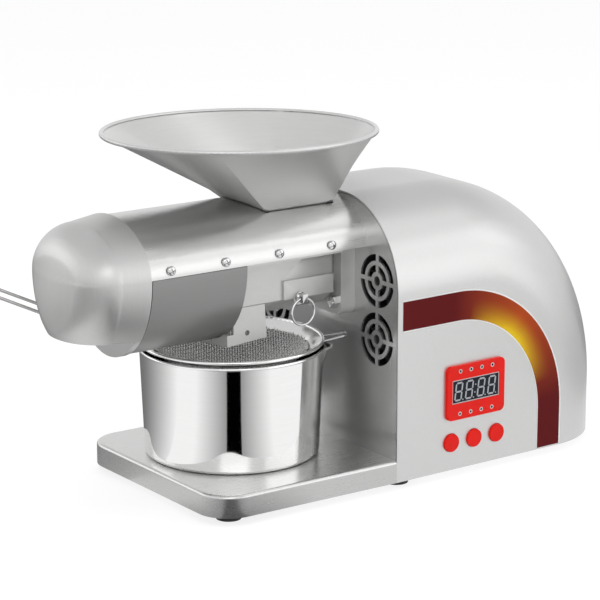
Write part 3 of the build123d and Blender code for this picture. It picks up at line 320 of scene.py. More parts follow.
def make_finishes(colours):
    """All finishes by name."""
    steel = tuple(colours.steel)
    polish = tuple(colours.polish)
    red = tuple(colours.red)
    finishes.update({
        "steel_along": brushed_metal("steel_brushed_along", shade(steel, 1.08), (26, 900, 900), (0.26, 0.32)),
        "steel_upright": brushed_metal("steel_brushed_upright", steel, (900, 900, 22), (0.29, 0.34)),
        "steel_cap": brushed_metal("steel_brushed_cap", steel, (900, 900, 22), (0.40, 0.46)),
        # Darker copy of the tray steel for the base plate's upright sides: painted shade, so the sides read
        # darker than the top.
        "steel_edge_painted_shade": brushed_metal("steel_brushed_edge_painted_shade", shade(steel, 0.90), (26, 900, 900), (0.26, 0.30),
                                    bump=0.003, contrast=0.012, metallic=0.85),
        # Darker copy of the steel for the hopper's outside: painted shade.
        "steel_around_painted_shade": brushed_metal("steel_brushed_around_painted_shade", shade(steel, 0.90), (45, 45, 900), (0.30, 0.36),
                                      metallic=0.6),
        # Lighter copy of the same steel for the hopper's inside faces: painted light.
        "steel_inside_painted_light": brushed_metal("steel_brushed_inside_painted_light", shade(steel, 1.14), (45, 45, 900), (0.30, 0.36),
                                      metallic=0.6),
        "steel_panel": brushed_metal("steel_panel", steel, (900, 900, 22), (0.22, 0.28), metallic=0.8),
        "steel_tray": brushed_metal("steel_brushed_tray", shade(steel, 1.12), (26, 900, 900), (0.26, 0.30),
                                    bump=0.003, contrast=0.012, metallic=0.85),
        # Brushed steel darkened to under half its tint for the lower cover: painted shade, not a darker metal.
        "steel_painted_shade_grey": brushed_metal("steel_brushed_painted_shade_grey", shade(steel, 0.46), (26, 900, 900), (0.34, 0.40),
                                    metallic=0.6),
        "wire": brushed_metal("steel_wire", shade(steel, 0.70), (300, 300, 300), (0.14, 0.20)),
        "mesh": brushed_metal("mesh_wire", (0.92, 0.92, 0.91), (400, 400, 400), (0.24, 0.32), metallic=0.5),
        "polish": brushed_metal("steel_polished", polish, (30, 30, 700), (0.03, 0.09),
                                bump=0.006, contrast=0.015),
        "satin": brushed_metal("steel_satin", polish, (300, 300, 300), (0.12, 0.18),
                               bump=0.006, contrast=0.015, metallic=0.9),
        "housing": brushed_metal("housing_satin", tuple(colours.housing), (500, 500, 500), (0.34, 0.42),
                                 bump=0.02, contrast=0.02, metallic=0.85),
        "milled": brushed_metal("steel_milled", (0.60, 0.60, 0.59), (160, 700, 700), (0.34, 0.42),
                                metallic=0.5),
        "turned": brushed_metal("steel_turned", (0.52, 0.52, 0.52), (1100, 60, 60), (0.22, 0.36),
                                contrast=0.08),
        "zinc": brushed_metal("zinc_bright", (0.70, 0.70, 0.70), (300, 300, 300), (0.12, 0.24), contrast=0.06),
        "galvanised": brushed_metal("sheet_galvanised", (0.55, 0.56, 0.57), (90, 90, 90), (0.35, 0.55),
                                    contrast=0.10),
        "bronze": brushed_metal("bronze_bush", (0.55, 0.33, 0.13), (900, 80, 80), (0.25, 0.40)),
        "band_clamp": brushed_metal("heater_sheath", (0.50, 0.48, 0.45), (60, 500, 500), (0.35, 0.50)),
        "motor": moulded("motor_paint", (0.06, 0.065, 0.07), (0.40, 0.55)),
        "rubber": moulded("foot_rubber", (0.014, 0.014, 0.014), (0.55, 0.75), bump=0.15),
        "black": moulded("black_plastic", (0.010, 0.010, 0.010), (0.38, 0.52)),
        "void": moulded("vent_black", (0.002, 0.002, 0.002), (0.75, 0.9)),
        "red": moulded("control_red", red, (0.30, 0.40), bump=0.02, sheen=0.12),
        "lamp": moulded("lamp_lens", (0.008, 0.007, 0.007), (0.15, 0.25), sheen=0.2),
        "pale": moulded("pale_print", (0.62, 0.63, 0.64), (0.35, 0.5), bump=0.01),
        "digit": moulded("digit_grey", (0.42, 0.45, 0.48), (0.30, 0.42), bump=0.01),
        "border": moulded("band_border", (0.84, 0.84, 0.83), (0.30, 0.4), bump=0.01),
        "board": board_green(),
        "window": dark_window(),
        "band": band_print(colours),
    })


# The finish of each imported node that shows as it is
NODE_FINISH = {
    "steel_along": ["top_cover"],
    "steel_tray": ["base_plate"],
    # The lower cover's darker steel is painted shade.
    "steel_painted_shade_grey": ["lower_cover"],
    "steel_cap": ["nose_cap"],
    "steel_upright": ["nose_plate"],
    # The hopper's outside carries painted shade; its inside faces get painted light in the skins step.
    "steel_around_painted_shade": ["hopper"],
    "steel_panel": ["front_panel"],
    "polish": ["pot"],
    "satin": ["strainer_frame"],
    "housing": ["motor_housing"],
    "milled": ["barrel_block", "flange_plate", "drip_bracket", "cover_rails", "feed_throat"],
    "turned": ["press_barrel", "barrel_cap", "press_screw", "output_shaft", "output_gear", "idler_shaft",
               "idler_gear", "motor_shaft", "shaft_bearings", "gearbox_spacers"],
    "zinc": ["cover_screws", "flange_bolts", "foot_screws", "lock_pin", "pull_ring", "inlet_pins"],
    "galvanised": ["floor_pan", "motor_cradle", "gearbox_front_plate", "gearbox_rear_plate"],
    "bronze": ["flange_bush"],
    "band_clamp": ["heater_band"],
    "motor": ["motor_body"],
    "rubber": ["rubber_feet"],
    "black": ["power_inlet", "switch_frame", "switch_rocker", "display_module"],
    "void": ["fan_frames", "upper_fan_rotor", "lower_fan_rotor"],
    "red": ["display_bezel", "button_1", "button_2", "button_3"],
    "lamp": ["indicator_lamps"],
    "window": ["display_window"],
    "board": ["circuit_board", "button_board"],
}


# Mesh building

def placed(name, data):
    """New object in the scene."""
    item = bpy.data.objects.new(name, data)
    bpy.context.scene.collection.objects.link(item)
    return item


def add_piece(name, mesh, finish, body, replaced=()):
    """Shows a finished mesh as a piece that rides on a body."""
    piece = placed(name, mesh)
    if finish:
        mesh.materials.clear()
        mesh.materials.append(finishes[finish])
    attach(piece, body)
    if replaced:
        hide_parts(*replaced)
    return piece


def mesh_from(name, points, faces, smooth_angle=None):
    mesh = bpy.data.meshes.new(name)
    mesh.from_pydata([tuple(p) for p in points], [], faces)
    mesh.update()
    if smooth_angle is not None:
        smooth(mesh, smooth_angle)
    return mesh


def smooth(mesh, angle):
    """Smooth faces, with edges sharper than the angle kept."""
    mesh.shade_smooth()
    mesh.set_sharp_from_angle(angle=radians(angle))


def outward(mesh):
    """Merges doubles and points every face outwards."""
    shape = bmesh.new()
    shape.from_mesh(mesh)
    bmesh.ops.remove_doubles(shape, verts=shape.verts, dist=1e-6)
    bmesh.ops.recalc_face_normals(shape, faces=shape.faces)
    shape.to_mesh(mesh)
    shape.free()
    return mesh


def merged_copy(node):
    """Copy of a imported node's mesh with its loose triangles joined."""
    mesh = frame["nodes"][node].data.copy()
    mesh.name = f"{node}_skin"
    shape = bmesh.new()
    shape.from_mesh(mesh)
    bmesh.ops.remove_doubles(shape, verts=shape.verts, dist=2e-6)
    shape.to_mesh(mesh)
    shape.free()
    return mesh


def lathe(profile, sides, centre):
    """Closed ring of quads from a closed profile of (radius, height)."""
    points, faces = [], []
    for step in range(sides):
        turn = 2 * pi * step / sides
        points += [centre + Vector((r * cos(turn), r * sin(turn), z)) for r, z in profile]
    count = len(profile)
    for step in range(sides):
        a, b = step * count, (step + 1) % sides * count
        for i in range(count):
            j = (i + 1) % count
            if profile[i][0] or profile[j][0]:
                faces.append((a + i, b + i, b + j, a + j))
    return points, faces


def baked(piece, name):
    """Plain mesh of an object with its modifiers done, and the object removed."""
    graph = bpy.context.evaluated_depsgraph_get()
    mesh = bpy.data.meshes.new_from_object(piece.evaluated_get(graph))
    mesh.name = name
    bpy.data.objects.remove(piece)
    return mesh


def grow(tree, name, values):
    """Runs a geometry tree with its inputs set by name, and returns the plain mesh."""
    holder = placed(name, bpy.data.meshes.new(f"{name}_seed"))
    modifier = holder.modifiers.new(name, "NODES")
    modifier.node_group = tree
    for item in tree.interface.items_tree:
        if item.item_type == "SOCKET" and item.in_out == "INPUT" and item.name in values:
            modifier[item.identifier] = values[item.name]
    return baked(holder, name)


class Tree:
    """Geometry tree under construction, with named inputs."""

    def __init__(self, name, inputs):
        self.tree = bpy.data.node_groups.new(name, "GeometryNodeTree")
        for label, kind in inputs:
            self.tree.interface.new_socket(label, in_out="INPUT", socket_type=f"NodeSocket{kind}")
        self.tree.interface.new_socket("Geometry", in_out="OUTPUT", socket_type="NodeSocketGeometry")
        self.given = self.tree.nodes.new("NodeGroupInput")

    def add(self, kind, inputs=None, **settings):
        return add_node(self.tree, kind, inputs, **settings)

    def math(self, operation, *values):
        return calc(self.tree, operation, *values)

    def finish(self, geometry):
        """Ends the tree in real geometry with its material."""
        real = self.add("GeometryNodeRealizeInstances", {"Geometry": geometry})
        dressed = self.add("GeometryNodeSetMaterial", {"Geometry": real.outputs[0],
                                                       "Material": self.given.outputs["Material"]})
        self.add("NodeGroupOutput", {0: dressed.outputs[0]})
        return self.tree


def woven_dish_tree():
    """Two sets of wires that pass over and under each other on a dish."""
    build = Tree("woven_dish", [("Radius", "Float"), ("Ball", "Float"), ("Pitch", "Float"), ("Wire", "Float"),
                                ("Count", "Int"), ("Material", "Material")])
    given = build.given.outputs
    span = build.math("MULTIPLY", given["Pitch"], build.math("SUBTRACT", given["Count"], 1.0))
    sheet = build.add("GeometryNodeMeshGrid", {"Size X": span, "Size Y": span, "Vertices X": given["Count"],
                                               "Vertices Y": given["Count"]})
    place = build.add("GeometryNodeInputPosition").outputs[0]
    parts = build.add("ShaderNodeSeparateXYZ", {0: place}).outputs
    reach = build.math("SQRT", build.math("ADD", build.math("MULTIPLY", parts["X"], parts["X"]),
                                          build.math("MULTIPLY", parts["Y"], parts["Y"])))
    outside = build.math("GREATER_THAN", reach, given["Radius"])
    disc = build.add("GeometryNodeDeleteGeometry", {"Geometry": sheet.outputs["Mesh"], "Selection": outside})
    ends = build.add("GeometryNodeInputMeshEdgeVertices").outputs
    rise = build.add("ShaderNodeVectorMath", {0: ends["Position 1"], 1: ends["Position 2"]},
                     operation="SUBTRACT")
    rise = build.add("ShaderNodeSeparateXYZ", {0: rise.outputs["Vector"]}).outputs["Y"]
    half_pitch = build.math("MULTIPLY", given["Pitch"], 0.5)
    crosswise = build.math("GREATER_THAN", build.math("ABSOLUTE", rise), half_pitch)
    rows = build.add("GeometryNodeDeleteGeometry", {"Geometry": disc.outputs[0], "Selection": crosswise},
                     domain="EDGE", mode="EDGE_FACE")
    ball = build.math("MULTIPLY", given["Ball"], given["Ball"])
    drop = build.math("SQRT", build.math("SUBTRACT", ball, build.math("MULTIPLY", reach, reach)))
    dish = build.math("SUBTRACT", given["Ball"], drop)
    steps = build.math("DIVIDE", build.math("ADD", parts["X"], parts["Y"]), given["Pitch"])
    wave = build.math("MULTIPLY", build.math("COSINE", build.math("MULTIPLY", steps, pi)), given["Wire"])
    ring = build.add("GeometryNodeCurvePrimitiveCircle", {"Resolution": 5, "Radius": given["Wire"]})
    sets = []
    for sign, turn in ((1.0, 0.0), (-1.0, pi / 2)):
        height = build.math("ADD", dish, build.math("MULTIPLY", wave, sign))
        lift = build.add("ShaderNodeCombineXYZ", {"Z": height}).outputs[0]
        wires = build.add("GeometryNodeSetPosition", {"Geometry": rows.outputs[0], "Offset": lift})
        turned = build.add("GeometryNodeTransform", {"Geometry": wires.outputs[0], "Rotation": (0, 0, turn)})
        lines = build.add("GeometryNodeMeshToCurve", {"Mesh": turned.outputs[0]})
        sets.append(build.add("GeometryNodeCurveToMesh", {"Curve": lines.outputs[0],
                                                          "Profile Curve": ring.outputs[0]}).outputs[0])
    both = build.add("GeometryNodeJoinGeometry")
    for wires in sets:
        build.tree.links.new(wires, both.inputs[0])
    return build.finish(both.outputs[0])


def row_tree(name):
    """One shape set out in rows and columns, turned as asked."""
    build = Tree(name, [("Shape", "Object"), ("Columns", "Int"), ("Rows", "Int"), ("Step", "Vector"),
                        ("Row Step", "Vector"), ("Start", "Vector"), ("Turn", "Vector"),
                        ("Material", "Material")])
    given = build.given.outputs
    line = build.add("GeometryNodeMeshLine", {"Count": given["Columns"], "Start Location": given["Start"],
                                              "Offset": given["Step"]})
    column = build.add("GeometryNodeMeshLine", {"Count": given["Rows"], "Offset": given["Row Step"]})
    grid = build.add("GeometryNodeInstanceOnPoints", {"Points": column.outputs[0], "Instance": line.outputs[0]})
    points = build.add("GeometryNodeRealizeInstances", {"Geometry": grid.outputs[0]})
    shape = build.add("GeometryNodeObjectInfo", {"Object": given["Shape"]})
    turn = build.add("FunctionNodeEulerToRotation", {0: given["Turn"]})
    placed = build.add("GeometryNodeInstanceOnPoints", {"Points": points.outputs[0],
                                                        "Instance": shape.outputs["Geometry"],
                                                        "Rotation": turn.outputs[0]})
    return build.finish(placed.outputs[0])


def set_out(name, shape_mesh, finish, **values):
    """Rows of a shape as one plain mesh."""
    shape = placed(f"{name}_shape", shape_mesh)
    tree = bpy.data.node_groups.get("rows_of_shapes") or row_tree("rows_of_shapes")
    values = {key.replace("_", " "): value for key, value in values.items()}
    mesh = grow(tree, name, {"Shape": shape, "Material": finishes[finish], **values})
    bpy.data.objects.remove(shape)
    return mesh


def join_meshes(name, meshes):
    shape = bmesh.new()
    for mesh in meshes:
        shape.from_mesh(mesh)
    joined = bpy.data.meshes.new(name)
    shape.to_mesh(joined)
    shape.free()
    return joined


# Pieces

def pan_head(radius):
    """Domed screw head, face along +Z, with a cross recess and a short shank."""
    high = 0.62 * radius
    profile = [(0.47 * radius, -0.9 * radius), (0.47 * radius, 0), (radius, 0), (radius, 0.28 * high)]
    for turn in (radians(t) for t in (20, 40, 60, 76)):
        profile.append((radius * cos(turn), high * (0.28 + 0.72 * sin(turn))))
    profile += [(0, high), (0, -0.9 * radius)]
    points, faces = lathe(profile, 24, Vector())
    head = placed("pan_head", outward(mesh_from("pan_head", points, faces)))
    arm, half, deep = 0.62 * radius, 0.13 * radius, 0.42 * radius
    outline = [(half, half), (half, arm), (-half, arm), (-half, half), (-arm, half), (-arm, -half),
               (-half, -half), (-half, -arm), (half, -arm), (half, -half), (arm, -half), (arm, half)]
    cutter_points = [(0.55 * x, 0.55 * y, high - deep) for x, y in outline]
    cutter_points += [(1.08 * x, 1.08 * y, high + 0.1 * radius) for x, y in outline]
    count = len(outline)
    cutter_faces = [(i, (i + 1) % count, (i + 1) % count + count, i + count) for i in range(count)]
    cutter_faces += [tuple(range(count)), tuple(range(count, 2 * count))]
    cutter = placed("cross_cutter", outward(mesh_from("cross_cutter", cutter_points, cutter_faces)))
    cut = head.modifiers.new("cross", "BOOLEAN")
    cut.operation = "DIFFERENCE"
    cut.solver = "EXACT"
    cut.object = cutter
    mesh = baked(head, "pan_head")
    bpy.data.objects.remove(cutter)
    smooth(mesh, 35)
    return mesh


class PRESS_OT_finishes(bpy.types.Operator):
    """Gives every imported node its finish"""
    bl_idname = "press.finishes"
    bl_label = "Finish the packed nodes"

    def execute(self, context):
        make_finishes(context.scene.press_colours)
        for finish, nodes in NODE_FINISH.items():
            for node in nodes:
                mesh = frame["nodes"][node].data
                mesh.materials.clear()
                mesh.materials.append(finishes[finish])
        return {"FINISHED"}


class PRESS_OT_cover_screws(bpy.types.Operator):
    """Makes the pan-head screws along both flanks of the cover"""
    bl_idname = "press.cover_screws"
    bl_label = "Cover screws"

    def execute(self, context):
        sizes = context.scene.press_sizes
        low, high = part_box("cover_screws")
        head = pan_head(sizes.screw_head)
        seat = 0.62 * sizes.screw_head
        rows = []
        for side, outer in ((-1, low.y), (1, high.y)):
            start = (FRONT_X - sizes.screw_first, outer - side * seat, (low.z + high.z) / 2)
            rows.append(set_out("cover_screw_row", head, "zinc", Columns=sizes.screw_count, Rows=1,
                                Step=(-sizes.screw_pitch, 0, 0), Row_Step=(0, 0, 0), Start=start,
                                Turn=(-side * pi / 2, 0.3 * side, 0)))
        mesh = join_meshes("cover_screw_heads", rows)
        smooth(mesh, 35)
        add_piece("cover_screw_heads", mesh, "zinc", "frame", ("cover_screws",))
        return {"FINISHED"}


class PRESS_OT_strainer_mesh(bpy.types.Operator):
    """Weaves the strainer's dished mesh"""
    bl_idname = "press.strainer_mesh"
    bl_label = "Strainer mesh"

    def execute(self, context):
        sizes = context.scene.press_sizes
        low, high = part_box("strainer_mesh")
        ball = (sizes.mesh_edge ** 2 + sizes.mesh_depth ** 2) / (2 * sizes.mesh_depth)
        count = 2 * int(sizes.mesh_edge / sizes.mesh_pitch) + 1
        mesh = grow(woven_dish_tree(), "strainer_weave", {
            "Radius": sizes.mesh_edge, "Ball": ball, "Pitch": sizes.mesh_pitch, "Wire": sizes.mesh_wire,
            "Count": count, "Material": finishes["mesh"]})
        middle = (low + high) / 2
        place = Matrix.Translation((middle.x, middle.y, low.z + 2 * sizes.mesh_wire))
        mesh.transform(place @ Matrix.Rotation(radians(-33), 4, "Z"))
        mesh.shade_smooth()
        add_piece("strainer_weave", mesh, "mesh", "oil_pot", ("strainer_mesh",))
        return {"FINISHED"}


class PRESS_OT_band(bpy.types.Operator):
    """Lays the printed band and its white border on the control side's wall"""
    bl_idname = "press.band"
    bl_label = "Printed band"

    def execute(self, context):
        sizes = context.scene.press_sizes
        outer, width = sizes.band_radius, sizes.band_width
        start_x, bend_x, top_z, low_z = 0.0042, 0.0526, 0.132, 0.0066
        border_out, border_in = 0.0012, 0.0008
        centre = Vector((bend_x, top_z - outer))
        route = [(Vector((start_x + (bend_x - start_x) * i / 12, top_z)), Vector((0, -1))) for i in range(12)]
        for i in range(41):
            turn = radians(90 - 90 * i / 40)
            out = Vector((cos(turn), sin(turn)))
            route.append((centre + outer * out, -out))
        route += [(Vector((bend_x + outer, centre.y + (low_z - centre.y) * i / 8)), Vector((-1, 0)))
                  for i in range(1, 9)]
        self.strip("band_print", route, 0, width, 0.00012, "band")
        self.strip("band_border", route, -border_out, width + border_in, 0.00006, "border")
        return {"FINISHED"}

    def strip(self, name, route, near, far, lift, finish):
        """Strip along the route between two distances from its outer edge."""
        points, faces, marks = [], [], []
        length = 0.0
        for i, (place, inward) in enumerate(route):
            length += (place - route[i - 1][0]).length if i else 0.0
            for step in range(5):
                share = step / 4
                edge = place + inward * (near + (far - near) * share)
                points.append((edge.x, edge.y, lift))
                marks.append([length, 1 - share])
        for i in range(len(route) - 1):
            for step in range(4):
                a = i * 5 + step
                faces.append((a, a + 1, a + 6, a + 5))
        mesh = mesh_from(name, points, faces)
        layer = mesh.uv_layers.new(name="band")
        for loop in mesh.loops:
            along, across = marks[loop.vertex_index]
            layer.data[loop.index].uv = (along / length, across)
        mesh.transform(near_wall())
        add_piece(name, mesh, finish, "frame")


class PRESS_OT_display(bpy.types.Operator):
    """Makes the display's digits, its pale frame and the rings round the lamps"""
    bl_idname = "press.display"
    bl_label = "Display"

    def execute(self, context):
        sizes = context.scene.press_sizes
        low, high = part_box("display_window")
        wall = near_wall()
        middle = wall.inverted() @ ((low + high) / 2)
        length, height = (high.x - low.x) / cos(WALL_TAPER), high.z - low.z
        face = 0.00166
        self.digits(wall, middle, length, height, face)
        self.frame_line(wall, middle, length, height, face)
        low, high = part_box("indicator_lamps")
        start = wall.inverted() @ Vector(((low.x + high.x) / 2, (low.y + high.y) / 2, low.z))
        ring = [(0.00088, 0), (0.00150, 0), (0.00146, 0.00016), (0.00092, 0.00016)]
        points, faces = lathe(ring, 20, Vector())
        shape = outward(mesh_from("lamp_ring", points, faces))
        lamp_r = 0.0012
        mesh = set_out("lamp_rings", shape, "pale", Columns=4, Rows=2, Step=(sizes.lamp_pitch, 0, 0),
                       Row_Step=(0, high.z - low.z - 2 * lamp_r, 0), Turn=(0, 0, 0),
                       Start=(start.x - 1.5 * sizes.lamp_pitch, start.y + lamp_r, 0.0022))
        mesh.transform(wall)
        smooth(mesh, 40)
        add_piece("lamp_rings", mesh, "pale", "frame")
        return {"FINISHED"}

    def digits(self, wall, middle, length, height, face):
        """Four generic seven-segment digits with a colon and points."""
        points, faces = [], []
        digit_high, digit_wide, bar, dot_r = 0.72 * height, 0.13 * length, 0.0012, 0.00055
        lean = tan(radians(7))

        def bar_piece(a, b):
            """Six-cornered bar between two points."""
            along = (b - a).normalized()
            side = Vector((-along.y, along.x)) * bar / 2
            tip = along * bar / 2
            outline = [a, a + tip + side, b - tip + side, b, b - tip - side, a + tip - side]
            first = len(points)
            points.extend((p.x + lean * (p.y - middle.y), p.y, face) for p in outline)
            faces.append(tuple(range(first + 5, first - 1, -1)))

        def dot(at):
            first, count = len(points), 10
            x = at.x + lean * (at.y - middle.y)
            for turn in (2 * pi * i / count for i in range(count)):
                points.append((x + dot_r * cos(turn), at.y + dot_r * sin(turn), face))
            faces.append(tuple(range(first, first + count)))

        centres = [middle.x + length * share for share in (-0.36, -0.135, 0.115, 0.34)]
        half_w, half_h, gap = digit_wide / 2, digit_high / 2, 0.00022
        for x in centres:
            corner = {(i, j): Vector((x + i * half_w, middle.y + j * half_h))
                      for i in (-1, 1) for j in (-1, 0, 1)}
            for j in (-1, 0, 1):
                a, b = corner[-1, j], corner[1, j]
                bar_piece(a + Vector((gap, 0)), b - Vector((gap, 0)))
            for i in (-1, 1):
                for j in (-1, 0):
                    a, b = corner[i, j], corner[i, j + 1]
                    bar_piece(a + Vector((0, gap)), b - Vector((0, gap)))
            dot(Vector((x + half_w + 0.0017, middle.y - half_h)))
        for j in (-0.45, 0.45):
            dot(Vector((middle.x - 0.01 * length, middle.y + j * half_h)))
        mesh = mesh_from("display_digits", points, faces)
        mesh.transform(wall)
        add_piece("display_digits", mesh, "digit", "frame")

    def frame_line(self, wall, middle, length, height, face):
        """Pale line round the window."""
        points, faces = [], []
        for inset, lift in ((0.0, face), (0.0006, face + 0.0001), (0.0007, face)):
            x, y = length / 2 - inset, height / 2 - inset
            points += [(middle.x + i * x, middle.y + j * y, lift)
                       for i, j in ((-1, -1), (1, -1), (1, 1), (-1, 1))]
        for ring in range(2):
            for i in range(4):
                j = (i + 1) % 4
                faces.append((ring * 4 + i, ring * 4 + j, ring * 4 + 4 + j, ring * 4 + 4 + i))
        mesh = mesh_from("display_frame", points, faces)
        mesh.transform(wall)
        add_piece("display_frame", mesh, "pale", "frame")


class PRESS_OT_pot(bpy.types.Operator):
    """Spins the polished pot with its rolled rim and pouring lip"""
    bl_idname = "press.pot"
    bl_label = "Pot"

    def execute(self, context):
        sizes = context.scene.press_sizes
        low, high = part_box("pot")
        middle = (low + high) / 2
        centre = Vector((middle.x, middle.y, low.z))
        tall = high.z - low.z
        foot_r, rim_r, wall, bead, curve = 0.0600, 0.0643, 0.001, 0.0011, 0.003
        edge = rim_r - bead
        bead_z = tall - bead
        slope = (edge - foot_r) / bead_z
        profile = [(0, 0), (0.02, 0), (0.04, 0), (foot_r - curve, 0)]
        for i in range(1, 8):
            turn = radians(-90 + 90 * i / 8)
            profile.append((foot_r - curve + curve * cos(turn) + slope * curve, curve + curve * sin(turn)))
        for i in range(9):
            z = curve + (bead_z - bead - curve) * i / 8
            profile.append((foot_r + slope * z, z))
        for i in range(13):
            turn = radians(-90 + 270 * i / 12)
            profile.append((edge + bead * cos(turn), bead_z + bead * sin(turn)))
        for i in reversed(range(9)):
            z = curve + (bead_z - bead - curve) * i / 8
            profile.append((foot_r - wall + slope * z, z))
        hollow = curve - wall
        for i in range(1, 8):
            turn = radians(-90 * i / 8)
            profile.append((foot_r - wall - hollow + hollow * cos(turn), curve + hollow * sin(turn)))
        profile += [(foot_r - curve, wall), (0.04, wall), (0.02, wall), (0, wall)]
        points, faces = lathe(profile, 160, centre)
        lip_turn, lip_half, lip_tall = radians(-38), 0.10, 0.20 * tall
        for point in points:
            out = (point - centre).xy
            turn = (atan2(out.y, out.x) - lip_turn + pi) % (2 * pi) - pi
            rise = max(0.0, (point.z - centre.z - tall + lip_tall) / lip_tall)
            if abs(turn) < 4 * lip_half and out.length > 0.04:
                push = sizes.lip_reach * rise ** 2 / (1 + (turn / lip_half) ** 4)
                point.xy += out.normalized() * push
        mesh = outward(mesh_from("pot_polished", points, faces))
        smooth(mesh, 40)
        add_piece("pot_polished", mesh, "polish", "oil_pot", ("pot",))
        return {"FINISHED"}


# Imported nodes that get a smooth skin
SMOOTH_NODES = ["motor_housing", "top_cover", "lower_cover", "nose_cap", "nose_plate", "base_plate", "hopper",
                "strainer_frame", "pull_ring", "lock_pin", "press_barrel", "barrel_cap", "barrel_block",
                "rubber_feet", "display_bezel", "button_1", "button_2", "button_3", "front_panel",
                "drip_bracket", "flange_bolts", "press_screw"]


class PRESS_OT_skins(bpy.types.Operator):
    """Replaces the rounded sheet pieces by smooth skins of the same shape"""
    bl_idname = "press.skins"
    bl_label = "Smooth skins"

    def execute(self, context):
        groups = frame["record"]["behaviour"]["bodies"]
        bodies = {node: body for body, nodes in groups.items() for node in nodes}
        finish_of = {node: finish for finish, nodes in NODE_FINISH.items() for node in nodes}
        for node in SMOOTH_NODES:
            mesh = merged_copy(node)
            if node == "nose_cap":
                self.press_form(mesh)
            if node == "lower_cover":
                self.draw_back(mesh, 0.0011)
            smooth(mesh, 28)
            holder = placed(f"{node}_holder", mesh)
            even = holder.modifiers.new("even", "WEIGHTED_NORMAL")
            even.keep_sharp = True
            skin = baked(holder, f"{node}_skin")
            add_piece(f"{node}_skin", skin, finish_of[node], bodies[node], (node,))
            # Faces of the hopper that look up get the lighter steel copy: painted light on its inside.
            if node == "hopper":
                self.second(skin, "steel_inside_painted_light", lambda face: face.normal.z > 0.05)
            if node == "strainer_frame":
                low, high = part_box("pot")
                axis = ((low + high) / 2).xy
                reach = (high.x - low.x) / 2
                self.second(skin, "wire", lambda face: (face.center.xy - axis).length > reach)
            # The base plate's upright faces get the darker steel copy: painted shade on its sides.
            if node == "base_plate":
                self.second(skin, "steel_edge_painted_shade", lambda face: abs(face.normal.z) < 0.3)
        return {"FINISHED"}

    def draw_back(self, mesh, gap):
        """Leaves a gap in front of a sheet."""
        front = min(v.co.x for v in mesh.vertices)
        for vert in mesh.vertices:
            if vert.co.x < front + 1e-4:
                vert.co.x += gap

    def press_form(self, mesh):
        """Swells the cap's face and flares its rim over the nose plate, as pressed sheet does."""
        shape = bmesh.new()
        shape.from_mesh(mesh)
        self.fill_face(shape)
        low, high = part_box("nose_cap")
        plate_low, plate_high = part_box("nose_plate")
        half, above, below, sink = (high.y - low.y) / 2, 0.0327, 0.0577, 0.008
        swell, swell_run, flare_run = 0.005, 0.023, 0.014
        lap = 0.8 * (plate_high.x - plate_low.x)
        lip = (plate_high.y - plate_low.y) / 2 - half + 0.0007
        for vert in shape.verts:
            out = Vector((vert.co.y - MIDDLE_Y, vert.co.z - high.z + above))
            reach = above if out.y > 0 else below
            share = min(1.0, Vector((out.x / half, (out.y + sink) / (reach + sink))).length)
            if vert.co.x < low.x + swell_run:
                vert.co.x -= swell * (1 - share ** 2) ** 2
            rim = max(0.0, (vert.co.x - high.x + flare_run) / flare_run)
            if rim > 0:
                push = lip * rim ** 2 * (3 - 2 * rim)
                vert.co.y += push * out.normalized().x
                if vert.co.z > low.z + 0.001:
                    vert.co.z += push * out.normalized().y
                vert.co.x += lap * rim ** 2
        shape.to_mesh(mesh)
        shape.free()

    def fill_face(self, shape):
        """Puts rings of faces in place of the cap's flat face."""
        tip = min(v.co.x for v in shape.verts)
        flat = {f for f in shape.faces if all(v.co.x < tip + 3e-6 for v in f.verts)}
        edge = {v for f in flat for v in f.verts if any(other not in flat for other in v.link_faces)}
        middle = sum((v.co for v in edge), Vector()) / len(edge)
        loop = sorted(edge, key=lambda v: atan2(v.co.y - middle.y, v.co.z - middle.z))
        bmesh.ops.delete(shape, geom=list(flat), context="FACES")
        rings, count = 9, len(loop)
        for ring in range(1, rings):
            inner = [shape.verts.new(v.co.lerp(middle, 1 / (rings - ring + 1))) for v in loop]
            for i in range(count):
                j = (i + 1) % count
                shape.faces.new((loop[i], loop[j], inner[j], inner[i]))
            loop = inner
        peak = shape.verts.new(middle)
        for i in range(count):
            shape.faces.new((loop[i], loop[(i + 1) % count], peak))
        bmesh.ops.recalc_face_normals(shape, faces=shape.faces)

    def second(self, mesh, finish, test):
        """Second finish on the faces that pass a test."""
        mesh.materials.append(finishes[finish])
        for face in mesh.polygons:
            if test(face):
                face.material_index = 1


